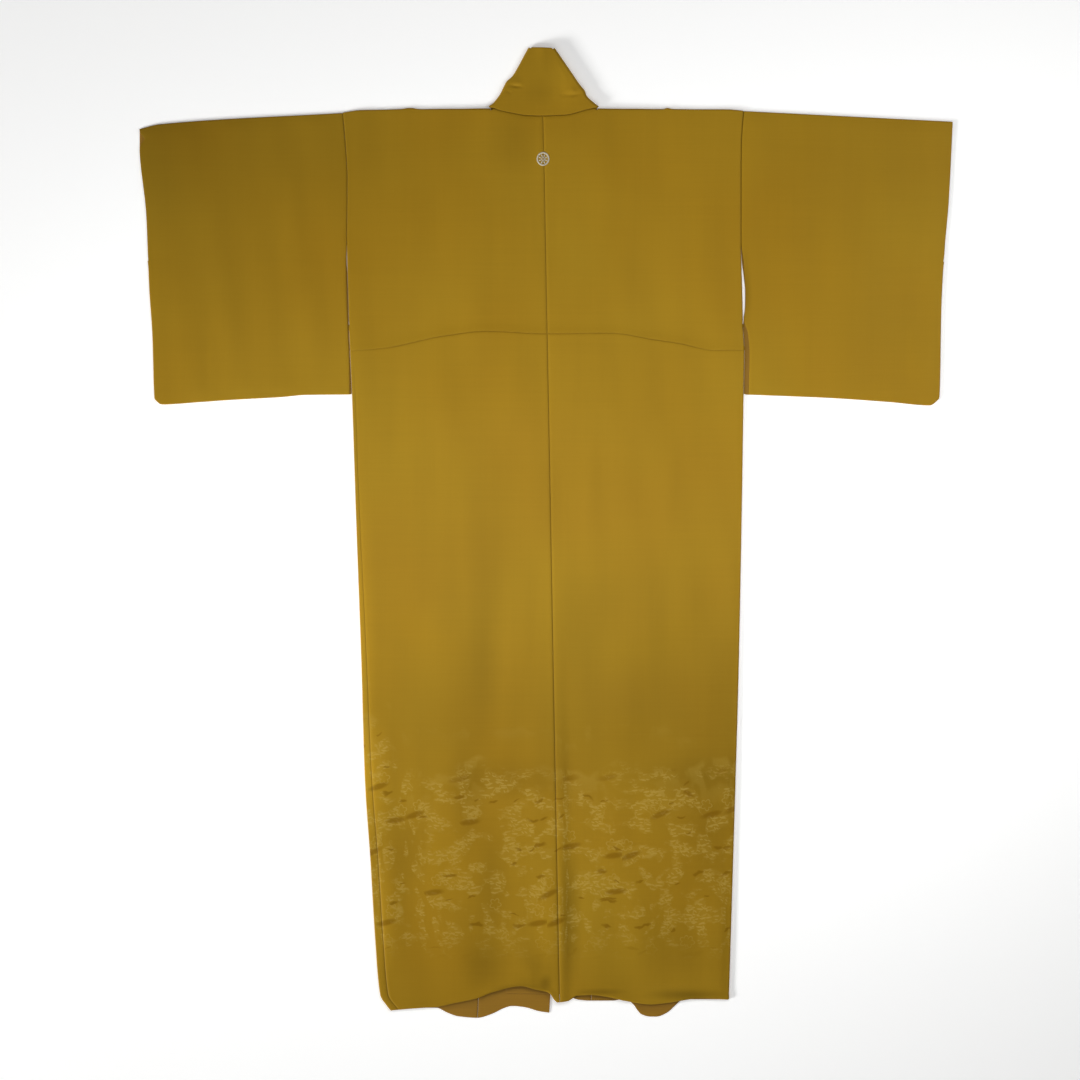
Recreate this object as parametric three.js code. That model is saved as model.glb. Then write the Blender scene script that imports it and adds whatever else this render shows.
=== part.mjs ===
// A woman's silk kimono, laid flat on its front with its back uppermost.
// +Y runs from the hem to the neck and +X to the wearer's right. The cloth rests on z = 0, and the middle
// of the garment's outline is over the origin. Every size is in millimetres.
//
// Each body panel is one length of cloth that runs from the front hem over the shoulder to the back hem,
// so there is no shoulder seam. Seen from the surface upwards lie the left front with its overlap panel,
// the right front with its own, and the two backs. The collar band stands out beyond the neck seam, is
// folded down on a slant at each side, and runs down the two fronts.

import * as THREE from "three";

// ---- Cloth ----
const CLOTH = 1.2; // crepe and its lining together
const BAND = 1.6; // collar band, with its turned-in edges
const SEAM_GAP = 0.3; // between pieces that are sewn edge to edge
const LAYER_GAP = 0.3; // between layers that lie on each other
const SLACK = 0.5; // air that a bridging layer holds above what it crosses
const FOLD_RISE = 1.7; // how much a folded edge springs up
const FOLD_REACH = 34; // how far in from the edge it does so

// ---- Levels along the length (y) ----
const HEM_SIDE = -788;
const ARMHOLE_FOOT = 479; // sleeve sewn on above this
const OPENING_FOOT = 334; // side seam closed below this
const KENSAKI = 470; // where the overlap panel's seam runs into the collar seam
const COLLAR_END = -80; // lower end of the collar's seam
const OVER_END = 250; // lower end of the over-collar
const WRIST_FOOT = 440; // wrist opening above this
const TUCK_STEP = 1.5; // width of the step where the waist tuck is sewn
const TUCK_LIP = 0.9; // its height

// A short table: the first list names the columns.
const table = (columns, ...rows) =>
  rows.map((row) => Object.fromEntries(columns.map((name, k) => [name, row[k]])));

// ---- Sections across the body: where the sides and the centre back seam lie (x) at each height (y) ----
const SECTIONS = table(
  ["y", "left", "centre", "right"],
  [HEM_SIDE, -256, 22.8, 300.5],
  [-762, -274, 22.4, 302],
  [-672, -282, 20.6, 305],
  [-540, -290, 18.1, 309],
  [-408, -299, 15.6, 313],
  [-210, -305, 11.9, 318.5],
  [22, -313.5, 7.8, 323],
  [229, -320.4, 4, 326.3],
  [300, -323.6, 2.6, 327.4],
  [OPENING_FOOT, -325, 2, 325.5],
  [405, -327, 0.7, 323.8],
  [ARMHOLE_FOOT, -328.6, -0.6, 322],
  [587, -328, -2.5, 322],
  [642, -331, -3.9, 322.6],
  [700, -336, -5.2, 326.4],
);

// ---- Shoulder line, with the back neck seam dipping between x = -91 and x = 85 ----
const SHOULDER = table(
  ["x", "y"],
  [-340, 693.5],
  [-305, 698],
  [-240, 699.6],
  [-224, 701.6],
  [-208, 699.6],
  [-110, 700.4],
  [-91, 700.2],
  [-75, 696.3],
  [-54, 691.8],
  [-31, 688],
  [-5, 687.4],
  [14, 688],
  [35, 689],
  [55, 694],
  [72, 698.6],
  [85, 700.2],
  [194, 699.6],
  [201, 701.6],
  [209, 699.6],
  [300, 699],
  [330, 696.6],
);
const NECK_LEFT = -91;
const NECK_RIGHT = 84.5;
const NECK_COLUMNS = 3; // columns of each back that end at the neck seam

// ---- Waist tuck, sewn across the back ----
const TUCK = table(
  ["x", "y"],
  [-325, 301],
  [-264, 306],
  [-172, 325],
  [-97, 333],
  [1, 329],
  [107, 330],
  [176, 320],
  [222, 313],
  [278, 302],
  [328, 302],
);

// ---- Hems ----
const BACK_HEM = table(
  ["x", "y"],
  [-256, HEM_SIDE],
  [-224, -785],
  [-181, -782],
  [-150, -775.5],
  [-115, -768],
  [-87, -757],
  [-41, -747],
  [-16, -753],
  [5, -758],
  [18, -774],
  [36, -773],
  [59, -767],
  [97, -771],
  [130, -772],
  [172, -778],
  [200, -775.5],
  [254, -768],
  [301, -770],
);
const FRONT_HEM_LEFT = table(
  ["x", "y"],
  [-256, HEM_SIDE],
  [-200, -784],
  [-181, -784],
  [-163, -792],
  [-145, -798],
  [-113, -800.6],
  [-89, -794],
  [-68, -784],
  [-56, -781],
  [-35, -783],
  [-10, -790],
  [5, -792],
);
const FRONT_HEM_RIGHT = table(
  ["x", "y"],
  [-65, -760],
  [75, -763],
  [130, -766],
  [142, -776],
  [157, -794.5],
  [172, -798.6],
  [183, -798.6],
  [200, -792],
  [214.5, -779],
  [226, -770],
  [301, -770],
);

// ---- Inner edges of the fronts: the overlap panel's seam, and its front edge under the collar ----
const FRONT_EDGES = table(
  ["y", "leftSeam", "leftEdge", "rightSeam", "rightEdge"],
  [-800, -113, 5, 75, -65],
  [-500, -100, 22, 71, -64],
  [COLLAR_END, -81, 50, 60, -57],
  [KENSAKI, -57, -57, 50, 50],
);

// ---- Collar band down the left front, from its end up to the neck: its sewn edge and its free edge ----
const COLLAR_ARM = table(
  ["seamX", "seamY", "freeX", "freeY"],
  [50, COLLAR_END, 161, -58],
  [31, 18, 142, 40],
  [12, 115, 122.5, 137],
  [-7, 212, 103.5, 235],
  [-26, 310, 84, 333],
  [-42, 390, 66.5, 414],
  [-57, KENSAKI, 49.5, 497],
  [-69, 540, 31, 573],
  [-78, 600, 14, 643],
  [-85, 650, -3, 706],
  [-89, 680, -14, 754],
);
const COLLAR_MIDDLE = -3.5; // the right front's band mirrors the left one's across this line
// Slanted folds where the band turns from the neck to the fronts, and the top edge between them.
const FOLD_LEFT = { seamX: -91, seamY: 701.3, freeX: -24, freeY: 799 };
const FOLD_RIGHT = { seamX: 84.5, seamY: 701.3, freeX: 10.5, freeY: 797 };
const COLLAR_TOP = 801;
const STAND_TURN = 1.3; // radius at which the band is folded down
const STAND_RISE = 2.6; // how much higher the standing part lies between its folds

// ---- Sleeves: outer edge, top, bottom, and how far the loose inner edge lies from the body ----
const SLEEVES = {
  left: {
    outer: table(
      ["y", "x"],
      [212, -645],
      [228, -647],
      [327, -650],
      [401, -655],
      [525, -660],
      [640, -671],
      [668, -671],
    ),
    top: table(["x", "y"], [-671, 667], [-637, 675], [-336, 693.5]),
    bottom: table(
      ["x", "y"],
      [-647, 222],
      [-634, 212],
      [-571, 216],
      [-521, 219.5],
      [-435, 224.4],
      [-398, 227.7],
      [-320, 228.5],
    ),
  },
  right: {
    outer: table(
      ["y", "x"],
      [211, 647],
      [228, 650],
      [376, 653],
      [467, 658],
      [549, 665],
      [680, 671.5],
    ),
    top: table(["x", "y"], [326, 696.6], [671.5, 679]),
    bottom: table(
      ["x", "y"],
      [326, 228.5],
      [394, 226],
      [469, 222.8],
      [568, 216],
      [634, 210.5],
      [648, 221],
    ),
  },
};
const LOOSE_EDGE = table(
  ["y", "left", "right", "rightUnder"],
  [210, 4.6, 6.8, 0.9],
  [302, 2, 5.6, 0.9],
  [348, 2.4, 1.2, 0.9],
  [373, 2.6, 8.4, 8.4],
  [398, 2.6, 10, 10],
  [427, 2.2, 8, 8],
  [455, 1.6, 5, 5],
  [ARMHOLE_FOOT, SEAM_GAP, SEAM_GAP, SEAM_GAP],
  [700, SEAM_GAP, SEAM_GAP, SEAM_GAP],
);

// ---- Largest folds of the upper layers: soft ridges, each turned some degrees from +Y ----
const FOLDS = table(
  ["x", "y", "length", "turn", "width", "height"],
  [58, -560, 430, -2, 30, 3.4],
  [2, -610, 300, 3, 24, 2.4],
  [-110, -690, 190, 16, 34, 3],
  [-205, -560, 420, 4, 40, 2.2],
  [150, -640, 260, -9, 44, 2.6],
  [235, -420, 520, -3, 46, 2],
  [120, -300, 230, 78, 46, 2.4],
  [-150, -180, 420, 8, 60, 1.8],
  [-470, 420, 330, 12, 60, 2.2],
  [500, 380, 360, -10, 64, 2.2],
  [-190, 470, 300, -20, 60, 1.5],
  [180, 500, 320, 18, 60, 1.5],
);

// ---- Helpers ----
const UP = 1;
const DOWN = -1;
const PASSES = 4; // rounds that settle x and y where each depends on the other
const mix = (a, b, share) => a + (b - a) * share;
const smooth = (low, high, value) => THREE.MathUtils.smoothstep(value, low, high);
const evenly = (count) => Array.from({ length: count + 1 }, (_, k) => k / count);

// Value of a column at a place along a table, on a smooth curve through its rows.
function follow(rows, along, column, value) {
  const last = rows.length - 1;
  const at = THREE.MathUtils.clamp(value, rows[0][along], rows[last][along]);
  let k = 0;
  while (k < last - 1 && rows[k + 1][along] < at) k += 1;
  const slope = (from, to) =>
    (rows[to][column] - rows[from][column]) / (rows[to][along] - rows[from][along]);
  const step = rows[k + 1][along] - rows[k][along];
  const middle = slope(k, k + 1);
  const before = k > 0 ? gentle(slope(k - 1, k), middle) : middle;
  const after = k < last - 1 ? gentle(middle, slope(k + 1, k + 2)) : middle;
  const t = (at - rows[k][along]) / step;
  const rise = rows[k + 1][column] - rows[k][column];
  return (
    rows[k][column] +
    rise * t * t * (3 - 2 * t) +
    step * (before * t * (1 - t) ** 2 - after * t * t * (1 - t))
  );
}

// Slope at a row between two stretches: their harmonic mean, which never overshoots.
const gentle = (a, b) => (a * b <= 0 ? 0 : (2 * a * b) / (a + b));

// A sheet of cloth as a net of points along its middle, each with the direction of its outer face.
class Sheet {
  constructor(thickness) {
    this.half = thickness / 2;
    this.middle = [];
    this.outward = [];
    this.faces = [];
    this.edges = new Set();
  }

  point(place, outward) {
    this.middle.push(place);
    this.outward.push(outward);
    return this.middle.length - 1;
  }

  face(...corners) {
    this.faces.push(corners);
    corners.forEach((a, k) => this.edges.add(a + ">" + corners[(k + 1) % corners.length]));
  }

  // A net of rows and columns whose outer face looks up or down. place(i, j) gives a point.
  net(columns, rows, place, facing) {
    const index = Array.from({ length: columns + 1 }, (_, i) =>
      Array.from({ length: rows + 1 }, (_, j) => {
        const { at, outward } = place(i, j);
        return this.point(at, outward || new THREE.Vector3(0, 0, facing));
      }),
    );
    const [a, b, d] = [index[0][0], index[1][0], index[0][1]].map((k) => this.middle[k]);
    const turn = Math.sign((b.x - a.x) * (d.y - a.y) - (b.y - a.y) * (d.x - a.x)) * facing;
    for (let i = 0; i < columns; i += 1)
      for (let j = 0; j < rows; j += 1) {
        const corners = [index[i][j], index[i + 1][j], index[i + 1][j + 1], index[i][j + 1]];
        this.face(...(turn > 0 ? corners : corners.reverse()));
      }
    return index;
  }

  // A half-round turn from a line of points on the lower layer to one on the upper layer.
  turn(lower, upper, directions, shared = new Map()) {
    const angles = [-45, 0, 45].map(THREE.MathUtils.degToRad);
    const lines = lower.map((a, k) => {
      if (!shared.has(a)) shared.set(a, this.turnPoints(a, upper[k], directions[k], angles));
      return [a, ...shared.get(a), upper[k]];
    });
    const forward = this.edges.has(lower[0] + ">" + lower[1]);
    for (let k = 0; k < lines.length - 1; k += 1)
      for (let s = 0; s < lines[k].length - 1; s += 1) {
        const corners = [lines[k + 1][s], lines[k][s], lines[k][s + 1], lines[k + 1][s + 1]];
        this.face(...(forward ? corners : corners.reverse()));
      }
    return shared;
  }

  turnPoints(a, b, direction, angles) {
    const radius = (this.middle[b].z - this.middle[a].z) / 2;
    return angles.map((angle) => {
      const outward = direction.clone().multiplyScalar(Math.cos(angle));
      outward.z = Math.sin(angle);
      const at = this.middle[a].clone().lerp(this.middle[b], (1 + Math.sin(angle)) / 2);
      at.addScaledVector(direction, radius * Math.cos(angle));
      return this.point(at, outward);
    });
  }

  // The closed wall: the net moved out and in by half the thickness, and rims along its open edges.
  mesh(name, material) {
    const count = this.middle.length;
    const skin = (side) =>
      this.middle.map((p, k) => p.clone().addScaledVector(this.outward[k], side * this.half));
    const positions = [...skin(1), ...skin(-1)].flatMap((p) => p.toArray());
    const triangles = [];
    const quad = (a, b, c, d) => triangles.push(a, b, c, a, c, d);
    for (const [a, b, c, d] of this.faces) {
      quad(a, b, c, d);
      quad(c + count, b + count, a + count, d + count); // parted along the same diagonal
    }
    for (const edge of this.edges) {
      const [a, b] = edge.split(">").map(Number);
      if (!this.edges.has(b + ">" + a)) quad(b, a, a + count, b + count);
    }
    const geometry = new THREE.BufferGeometry();
    geometry.setAttribute("position", new THREE.Float32BufferAttribute(positions, 3));
    geometry.setIndex(triangles);
    geometry.computeVertexNormals();
    const mesh = new THREE.Mesh(geometry, material);
    mesh.name = name;
    return mesh;
  }
}

// ---- How the layers rise over each other ----
const OVER_REACH = 34; // how far past an edge the layer above stays lifted
const OVER_SOFT = 110; // and over what distance it comes down

// 1 while a place is short of an edge or just past it, falling softly to 0 beyond.
const cover = (past) => 1 - smooth(OVER_REACH, OVER_REACH + OVER_SOFT, past);

const ARM_BY_SEAM = COLLAR_ARM.concat({ ...FOLD_LEFT });
const seamLeft = (y) => follow(ARM_BY_SEAM, "seamY", "seamX", y);
const freeLeft = (y) => follow(ARM_BY_SEAM, "freeY", "freeX", y);
const mirrored = (x) => 2 * COLLAR_MIDDLE - x;

// 1 where something that ends at a height lies below or near a place, falling to 0 further down.
const startsAt = (end, y) => smooth(end - OVER_REACH - OVER_SOFT, end - OVER_REACH, y);

// Inner limit of each front at a height: its overlap panel's front edge, then the collar's free edge.
const reachLeft = (y) =>
  mix(follow(FRONT_EDGES, "y", "leftEdge", y), freeLeft(y), startsAt(COLLAR_END, y));
const reachRight = (y) =>
  mix(follow(FRONT_EDGES, "y", "rightEdge", y), mirrored(freeLeft(y)), startsAt(COLLAR_END, y));

const ONE_LAYER = CLOTH + LAYER_GAP;
const ARM_EXTRA = BAND - CLOTH; // what the band adds to a single layer
const OVER_EXTRA = CLOTH + LAYER_GAP; // and what the over-collar adds to that

// What the collar adds to its front's own height, under a layer that crosses it.
function collarLift(x, y, seam, free) {
  const past = Math.max(seam - x, x - free);
  return cover(past) * (ARM_EXTRA * startsAt(COLLAR_END, y) + OVER_EXTRA * startsAt(OVER_END, y));
}

// Height of the surface under the right front: the left front where it reaches, or the floor.
const overLeft = (x, y) =>
  ONE_LAYER * cover(x - reachLeft(y)) + collarLift(x, y, seamLeft(y), freeLeft(y));

// Height of the surface under the backs.
const overFronts = (x, y) =>
  overLeft(x, y) +
  (ONE_LAYER + SLACK) * cover(reachRight(y) - x) +
  collarLift(x, y, mirrored(freeLeft(y)), mirrored(seamLeft(y)));

// Soft ridges of the upper layer at a place.
function foldHeight(x, y) {
  return FOLDS.reduce((sum, fold) => {
    const turn = THREE.MathUtils.degToRad(fold.turn);
    const along = (y - fold.y) * Math.cos(turn) - (x - fold.x) * Math.sin(turn);
    const across = (x - fold.x) * Math.cos(turn) + (y - fold.y) * Math.sin(turn);
    const reach = Math.max(0, 1 - (along / (fold.length / 2)) ** 2);
    return sum + fold.height * reach ** 2 * Math.exp(-((across / fold.width) ** 2));
  }, 0);
}

// A folded edge springs up: how much, at a distance in from it.
const spring = (distance) => FOLD_RISE * Math.exp(-((distance / FOLD_REACH) ** 2));

// Room that a folded edge takes beyond the middle of its cloth, where the layers lie so far apart.
const turnRoom = (apart) => (apart + FOLD_RISE + CLOTH) / 2;
const TURN_DEPTH = turnRoom(ONE_LAYER);

// 1 below the foot of an opening, 0 a little above it.
const closedBelow = (foot, y) => 1 - smooth(foot - 6, foot + 20, y);

// ---- Body panels ----
const SHOULDER_COLUMNS = 8;
const ROWS_BELOW_TUCK = 24;

// Rows as shares of the stretch from the hem to the tuck, and of that from the tuck to the shoulder.
function bodyRows(sideTuck, sideTop) {
  const share = (y) => (y - sideTuck) / (sideTop - sideTuck);
  const stretch = (from, to, count) => evenly(count).slice(1).map((s) => mix(from, to, s));
  return [
    ...evenly(ROWS_BELOW_TUCK).map((s) => ({ below: s })),
    { above: 0 },
    { above: share(OPENING_FOOT) },
    ...stretch(share(OPENING_FOOT), share(ARMHOLE_FOOT), 4).map((s) => ({ above: s })),
    ...stretch(share(ARMHOLE_FOOT), 1, 6).map((s) => ({ above: s })),
  ];
}

// Height of a row at a place across, between the hem, the tuck and the shoulder.
function rowHeight(row, x, hem, drop) {
  const tuck = follow(TUCK, "x", "y", x);
  if (row.below !== undefined) return mix(follow(hem, "x", "y", x), tuck - TUCK_STEP, row.below);
  return mix(tuck, follow(SHOULDER, "x", "y", x) - drop(x), row.above);
}

// A point of a row, part of the way from the side to an inner edge, both given as x at a height.
function rowPoint(row, share, side, inner, hem, drop) {
  let y = row.below !== undefined ? mix(HEM_SIDE, 300, row.below) : mix(300, 700, row.above);
  let x = 0;
  for (let pass = 0; pass < PASSES; pass += 1) {
    x = mix(side(y), inner(y), share);
    y = rowHeight(row, x, hem, drop);
  }
  return { x, y };
}

function bodyPanel(hand) {
  const left = hand === "left";
  const outwards = left ? -1 : 1;
  const sheet = new Sheet(CLOTH);
  const sideX = follow(SECTIONS, "y", hand, OPENING_FOOT);
  const rows = bodyRows(follow(TUCK, "x", "y", sideX), follow(SHOULDER, "x", "y", sideX));
  const openRow = ROWS_BELOW_TUCK + 2;
  const underBack = (x, y) => overFronts(x, y) - (left ? 0 : overLeft(x, y));
  const side = (y) => {
    const edge = follow(SECTIONS, "y", hand, y);
    return edge - outwards * turnRoom(underBack(edge, y)) * closedBelow(OPENING_FOOT, y);
  };
  const shoulderDrop = (x) => turnRoom(underBack(x, follow(SHOULDER, "x", "y", x)));
  const centre = (y) => follow(SECTIONS, "y", "centre", y) + (outwards * SEAM_GAP) / 2;
  const neck = left ? NECK_LEFT - SEAM_GAP : NECK_RIGHT + SEAM_GAP;
  const neckShare = (neck - side(700)) / (centre(700) - side(700));
  const share = (i) =>
    i <= SHOULDER_COLUMNS
      ? (neckShare * i) / SHOULDER_COLUMNS
      : mix(neckShare, 1, (i - SHOULDER_COLUMNS) / NECK_COLUMNS);

  const backPlace = (i, j) => {
    const shoulder = i <= SHOULDER_COLUMNS;
    const drop = shoulder ? shoulderDrop : () => 0;
    const { x, y } = rowPoint(rows[j], share(i), side, centre, BACK_HEM, drop);
    const fromTop = shoulder ? follow(SHOULDER, "x", "y", x) - y : Infinity;
    const fromSide = y < OPENING_FOOT + 1 ? Math.abs(x - side(y)) : Infinity;
    const lip = rows[j].above === 0 ? TUCK_LIP : 0;
    const z = CLOTH / 2 + overFronts(x, y) + spring(Math.min(fromTop, fromSide)) + foldHeight(x, y) + lip;
    return { at: new THREE.Vector3(x, y, z) };
  };
  const back = sheet.net(SHOULDER_COLUMNS + NECK_COLUMNS, rows.length - 1, backPlace, UP);

  const hem = left ? FRONT_HEM_LEFT : FRONT_HEM_RIGHT;
  const inner = (y) => {
    if (y > KENSAKI) return (left ? seamLeft(y) : mirrored(seamLeft(y))) + outwards * SEAM_GAP;
    return follow(FRONT_EDGES, "y", hand + "Seam", y) + outwards * SEAM_GAP;
  };
  const frontPlace = (i, j) => {
    const top = j === rows.length - 1;
    const { x, y } = top
      ? sheet.middle[back[i][j]]
      : rowPoint(rows[j], i / SHOULDER_COLUMNS, side, inner, hem, shoulderDrop);
    const z = CLOTH / 2 + (left ? 0 : overLeft(x, y));
    return { at: new THREE.Vector3(x, y, z) };
  };
  const front = sheet.net(SHOULDER_COLUMNS, rows.length - 1, frontPlace, DOWN);

  const top = rows.length - 1;
  const shoulderColumns = evenly(SHOULDER_COLUMNS).map((_, i) => i);
  sheet.turn(
    shoulderColumns.map((i) => front[i][top]),
    shoulderColumns.map((i) => back[i][top]),
    shoulderColumns.map(() => new THREE.Vector3(0, 1, 0)),
  );
  const closedRows = Array.from({ length: openRow + 1 }, (_, j) => j);
  sheet.turn(
    closedRows.map((j) => front[0][j]),
    closedRows.map((j) => back[0][j]),
    closedRows.map(() => new THREE.Vector3(outwards, 0, 0)),
  );
  return sheet.mesh("body_" + hand, silk("#9c7a20"));
}

// ---- Overlap panels: a tapering strip from the front's seam to the garment's front edge ----
function overlapPanel(hand) {
  const left = hand === "left";
  const inwards = left ? 1 : -1;
  const columns = 4;
  const rows = 26;
  const sheet = new Sheet(CLOTH);
  const hem = left ? FRONT_HEM_LEFT : FRONT_HEM_RIGHT;
  const seam = (y) => follow(FRONT_EDGES, "y", hand + "Seam", y);
  const edge = (y) => {
    if (y < COLLAR_END) return follow(FRONT_EDGES, "y", hand + "Edge", y);
    return (left ? seamLeft(y) : mirrored(seamLeft(y))) - inwards * SEAM_GAP;
  };
  const top = KENSAKI - 22; // the point is turned in where the two seams meet
  const place = (i, j) => {
    let y = mix(HEM_SIDE, top, j / rows);
    let x = 0;
    for (let pass = 0; pass < PASSES; pass += 1) {
      x = mix(seam(y), edge(y), i / columns);
      y = mix(follow(hem, "x", "y", x), top, j / rows);
    }
    return { at: new THREE.Vector3(x, y, CLOTH / 2 + (left ? 0 : overLeft(x, y))) };
  };
  sheet.net(columns, rows, place, DOWN);
  return sheet.mesh("overlap_" + hand, silk("#94721d"));
}

// ---- Collar: one band, and an over-collar on its outer face ----
const ARM_COLUMNS = 5;
const ARM_ROWS = 22;
const STAND_ROWS = 2 * NECK_COLUMNS;

// Where the backs' columns end along the neck seam: the standing part has a row at each of them.
function neckStation(k) {
  const centre = follow(SECTIONS, "y", "centre", 700);
  if (k <= NECK_COLUMNS) return mix(NECK_LEFT, centre, k / NECK_COLUMNS);
  return mix(centre, NECK_RIGHT, (k - NECK_COLUMNS) / NECK_COLUMNS);
}

// Rows of the band from the left front's end over the neck to the right front's end. Each has its sewn
// end, its free end, the height of its middle, and the direction of its outer face.
function bandRows() {
  const arm = COLLAR_ARM.concat(FOLD_LEFT);
  const armRow = (s) => {
    const at = s * (arm.length - 1);
    const k = Math.min(Math.floor(at), arm.length - 2);
    const blend = (name) => mix(arm[k][name], arm[k + 1][name], at - k);
    return { seamX: blend("seamX"), seamY: blend("seamY"), freeX: blend("freeX"), freeY: blend("freeY") };
  };
  const down = () => new THREE.Vector3(0, 0, -1);
  const raised = (y) => CLOTH + LAYER_GAP - OVER_EXTRA * (1 - smooth(OVER_END - 60, OVER_END - 8, y));
  const leftArm = evenly(ARM_ROWS).map((s) => ({
    ...armRow(s),
    height: (x, y) => BAND / 2 + raised(y),
    outward: down(),
  }));
  const rightArm = evenly(ARM_ROWS)
    .map((s) => {
      const row = armRow(s);
      return {
        seamX: mirrored(row.seamX) - (s > 0.999 ? mirrored(FOLD_LEFT.seamX) - FOLD_RIGHT.seamX : 0),
        seamY: row.seamY,
        freeX: mirrored(row.freeX) - (s > 0.999 ? mirrored(FOLD_LEFT.freeX) - FOLD_RIGHT.freeX : 0),
        freeY: row.freeY,
        height: (x, y) => BAND / 2 + raised(y) + overLeft(x, y),
        outward: down(),
      };
    })
    .reverse();
  const turned = (row, x, y) => row.height(x, y) + 2 * STAND_TURN;
  const stand = evenly(STAND_ROWS).map((s, k) => {
    const seamX = neckStation(k);
    const atFold = k === 0 || k === STAND_ROWS;
    return {
      seamX,
      seamY: atFold ? FOLD_LEFT.seamY : follow(SHOULDER, "x", "y", seamX) + SEAM_GAP,
      freeX: mix(FOLD_LEFT.freeX, FOLD_RIGHT.freeX, s),
      freeY: atFold ? mix(FOLD_LEFT.freeY, FOLD_RIGHT.freeY, s) : COLLAR_TOP,
      height: (x, y, share) => {
        const foldX = (fold) => mix(fold.seamX, fold.freeX, share);
        const low = turned(leftArm[ARM_ROWS], foldX(FOLD_LEFT), y);
        const high = turned(rightArm[0], foldX(FOLD_RIGHT), y);
        return mix(low, high, s) + STAND_RISE * Math.sin(Math.PI * s) ** 0.8;
      },
      outward: new THREE.Vector3(0, 0, 1),
    };
  });
  return { leftArm, stand, rightArm };
}

// The half-round turn between the last row of an arm and the standing part, as rows of points.
function bandTurn(fold, low, high, sideways) {
  const line = new THREE.Vector3(fold.freeX - fold.seamX, fold.freeY - fold.seamY, 0).normalize();
  const away = new THREE.Vector3(-line.y, line.x, 0).multiplyScalar(sideways);
  return [-45, 0, 45].map(THREE.MathUtils.degToRad).map((angle) =>
    low.map((a, i) => {
      const b = high[i];
      const radius = (b.at.z - a.at.z) / 2;
      const at = a.at.clone().lerp(b.at, (1 + Math.sin(angle)) / 2);
      at.addScaledVector(away, radius * Math.cos(angle));
      const outward = away.clone().multiplyScalar(Math.cos(angle));
      outward.z = Math.sin(angle);
      return { at, outward };
    }),
  );
}

// Points of the band's middle, row by row.
function bandNet() {
  const rows = bandRows();
  const across = evenly(ARM_COLUMNS);
  const points = (row) =>
    across.map((s) => {
      const x = mix(row.seamX, row.freeX, s);
      const y = mix(row.seamY, row.freeY, s);
      return { at: new THREE.Vector3(x, y, row.height(x, y, s)), outward: row.outward };
    });
  const left = rows.leftArm.map(points);
  const stand = rows.stand.map(points);
  const right = rows.rightArm.map(points);
  return [
    ...left,
    ...bandTurn(FOLD_LEFT, left[ARM_ROWS], stand[0], 1),
    ...stand,
    ...bandTurn(FOLD_RIGHT, right[0], stand[STAND_ROWS], -1).reverse(),
    ...right,
  ];
}

function collar(name, thickness, offset, rows, color) {
  const sheet = new Sheet(thickness);
  const place = (i, j) => {
    const { at, outward } = rows[j][i];
    return { at: at.clone().addScaledVector(outward, offset), outward };
  };
  sheet.net(ARM_COLUMNS, rows.length - 1, place, DOWN);
  return sheet.mesh(name, silk(color));
}

// ---- Sleeves: a flat bag, folded at the top, open at the wrist and along the body side ----
function sleeve(hand) {
  const left = hand === "left";
  const outwards = left ? -1 : 1;
  const columns = 10;
  const lowerRows = 7;
  const rows = 14;
  const sheet = new Sheet(CLOTH);
  const { outer, top, bottom } = SLEEVES[hand];
  const inner = (y, under) => {
    const apart = follow(LOOSE_EDGE, "y", !left && under ? "rightUnder" : hand, y);
    return follow(SECTIONS, "y", hand, y) + outwards * apart;
  };
  const outerTop = follow(top, "x", "y", left ? -671 : 671.5);
  const outerBottom = left ? 212 : 211;
  const wristShare = (WRIST_FOOT - outerBottom) / (outerTop - outerBottom);
  const share = (j) =>
    j <= lowerRows
      ? (wristShare * j) / lowerRows
      : mix(wristShare, 1, (j - lowerRows) / (rows - lowerRows));
  const across = (i) => (i < columns ? (i / (columns - 1)) * 0.962 : 1);
  const place = (under) => (i, j) => {
    let y = mix(outerBottom, outerTop, share(j));
    let x = 0;
    for (let pass = 0; pass < PASSES; pass += 1) {
      const cuff = follow(outer, "y", "x", y) - outwards * TURN_DEPTH * closedBelow(WRIST_FOOT, y);
      x = mix(inner(y, under), cuff, across(i));
      y = mix(follow(bottom, "x", "y", x) + TURN_DEPTH, follow(top, "x", "y", x) - TURN_DEPTH, share(j));
    }
    const fromEdge = Math.min(
      follow(top, "x", "y", x) - y,
      y - follow(bottom, "x", "y", x),
      y < WRIST_FOOT + 1 ? Math.abs(follow(outer, "y", "x", y) - x) : Infinity,
    );
    const upper = ONE_LAYER + spring(Math.max(0, fromEdge - TURN_DEPTH)) + foldHeight(x, y);
    return { at: new THREE.Vector3(x, y, CLOTH / 2 + (under ? 0 : upper)) };
  };
  const above = sheet.net(columns, rows, place(false), UP);
  const below = sheet.net(columns, rows, place(true), DOWN);
  const everyColumn = Array.from({ length: columns + 1 }, (_, i) => i);
  const closedRows = Array.from({ length: lowerRows + 1 }, (_, j) => j);
  const corner = new THREE.Vector3(outwards, -1, 0).normalize();
  const along = (i) => (i === columns ? corner : new THREE.Vector3(0, -1, 0));
  sheet.turn(
    everyColumn.map((i) => below[i][rows]),
    everyColumn.map((i) => above[i][rows]),
    everyColumn.map(() => new THREE.Vector3(0, 1, 0)),
  );
  const shared = sheet.turn(
    everyColumn.map((i) => below[i][0]),
    everyColumn.map((i) => above[i][0]),
    everyColumn.map(along),
  );
  sheet.turn(
    closedRows.map((j) => below[columns][j]),
    closedRows.map((j) => above[columns][j]),
    closedRows.map(() => new THREE.Vector3(outwards, 0, 0)),
    shared,
  );
  return sheet.mesh("sleeve_" + hand, silk("#8a6a1a"));
}

function silk(color) {
  return new THREE.MeshStandardMaterial({ color, roughness: 0.55, metalness: 0 });
}

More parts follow.
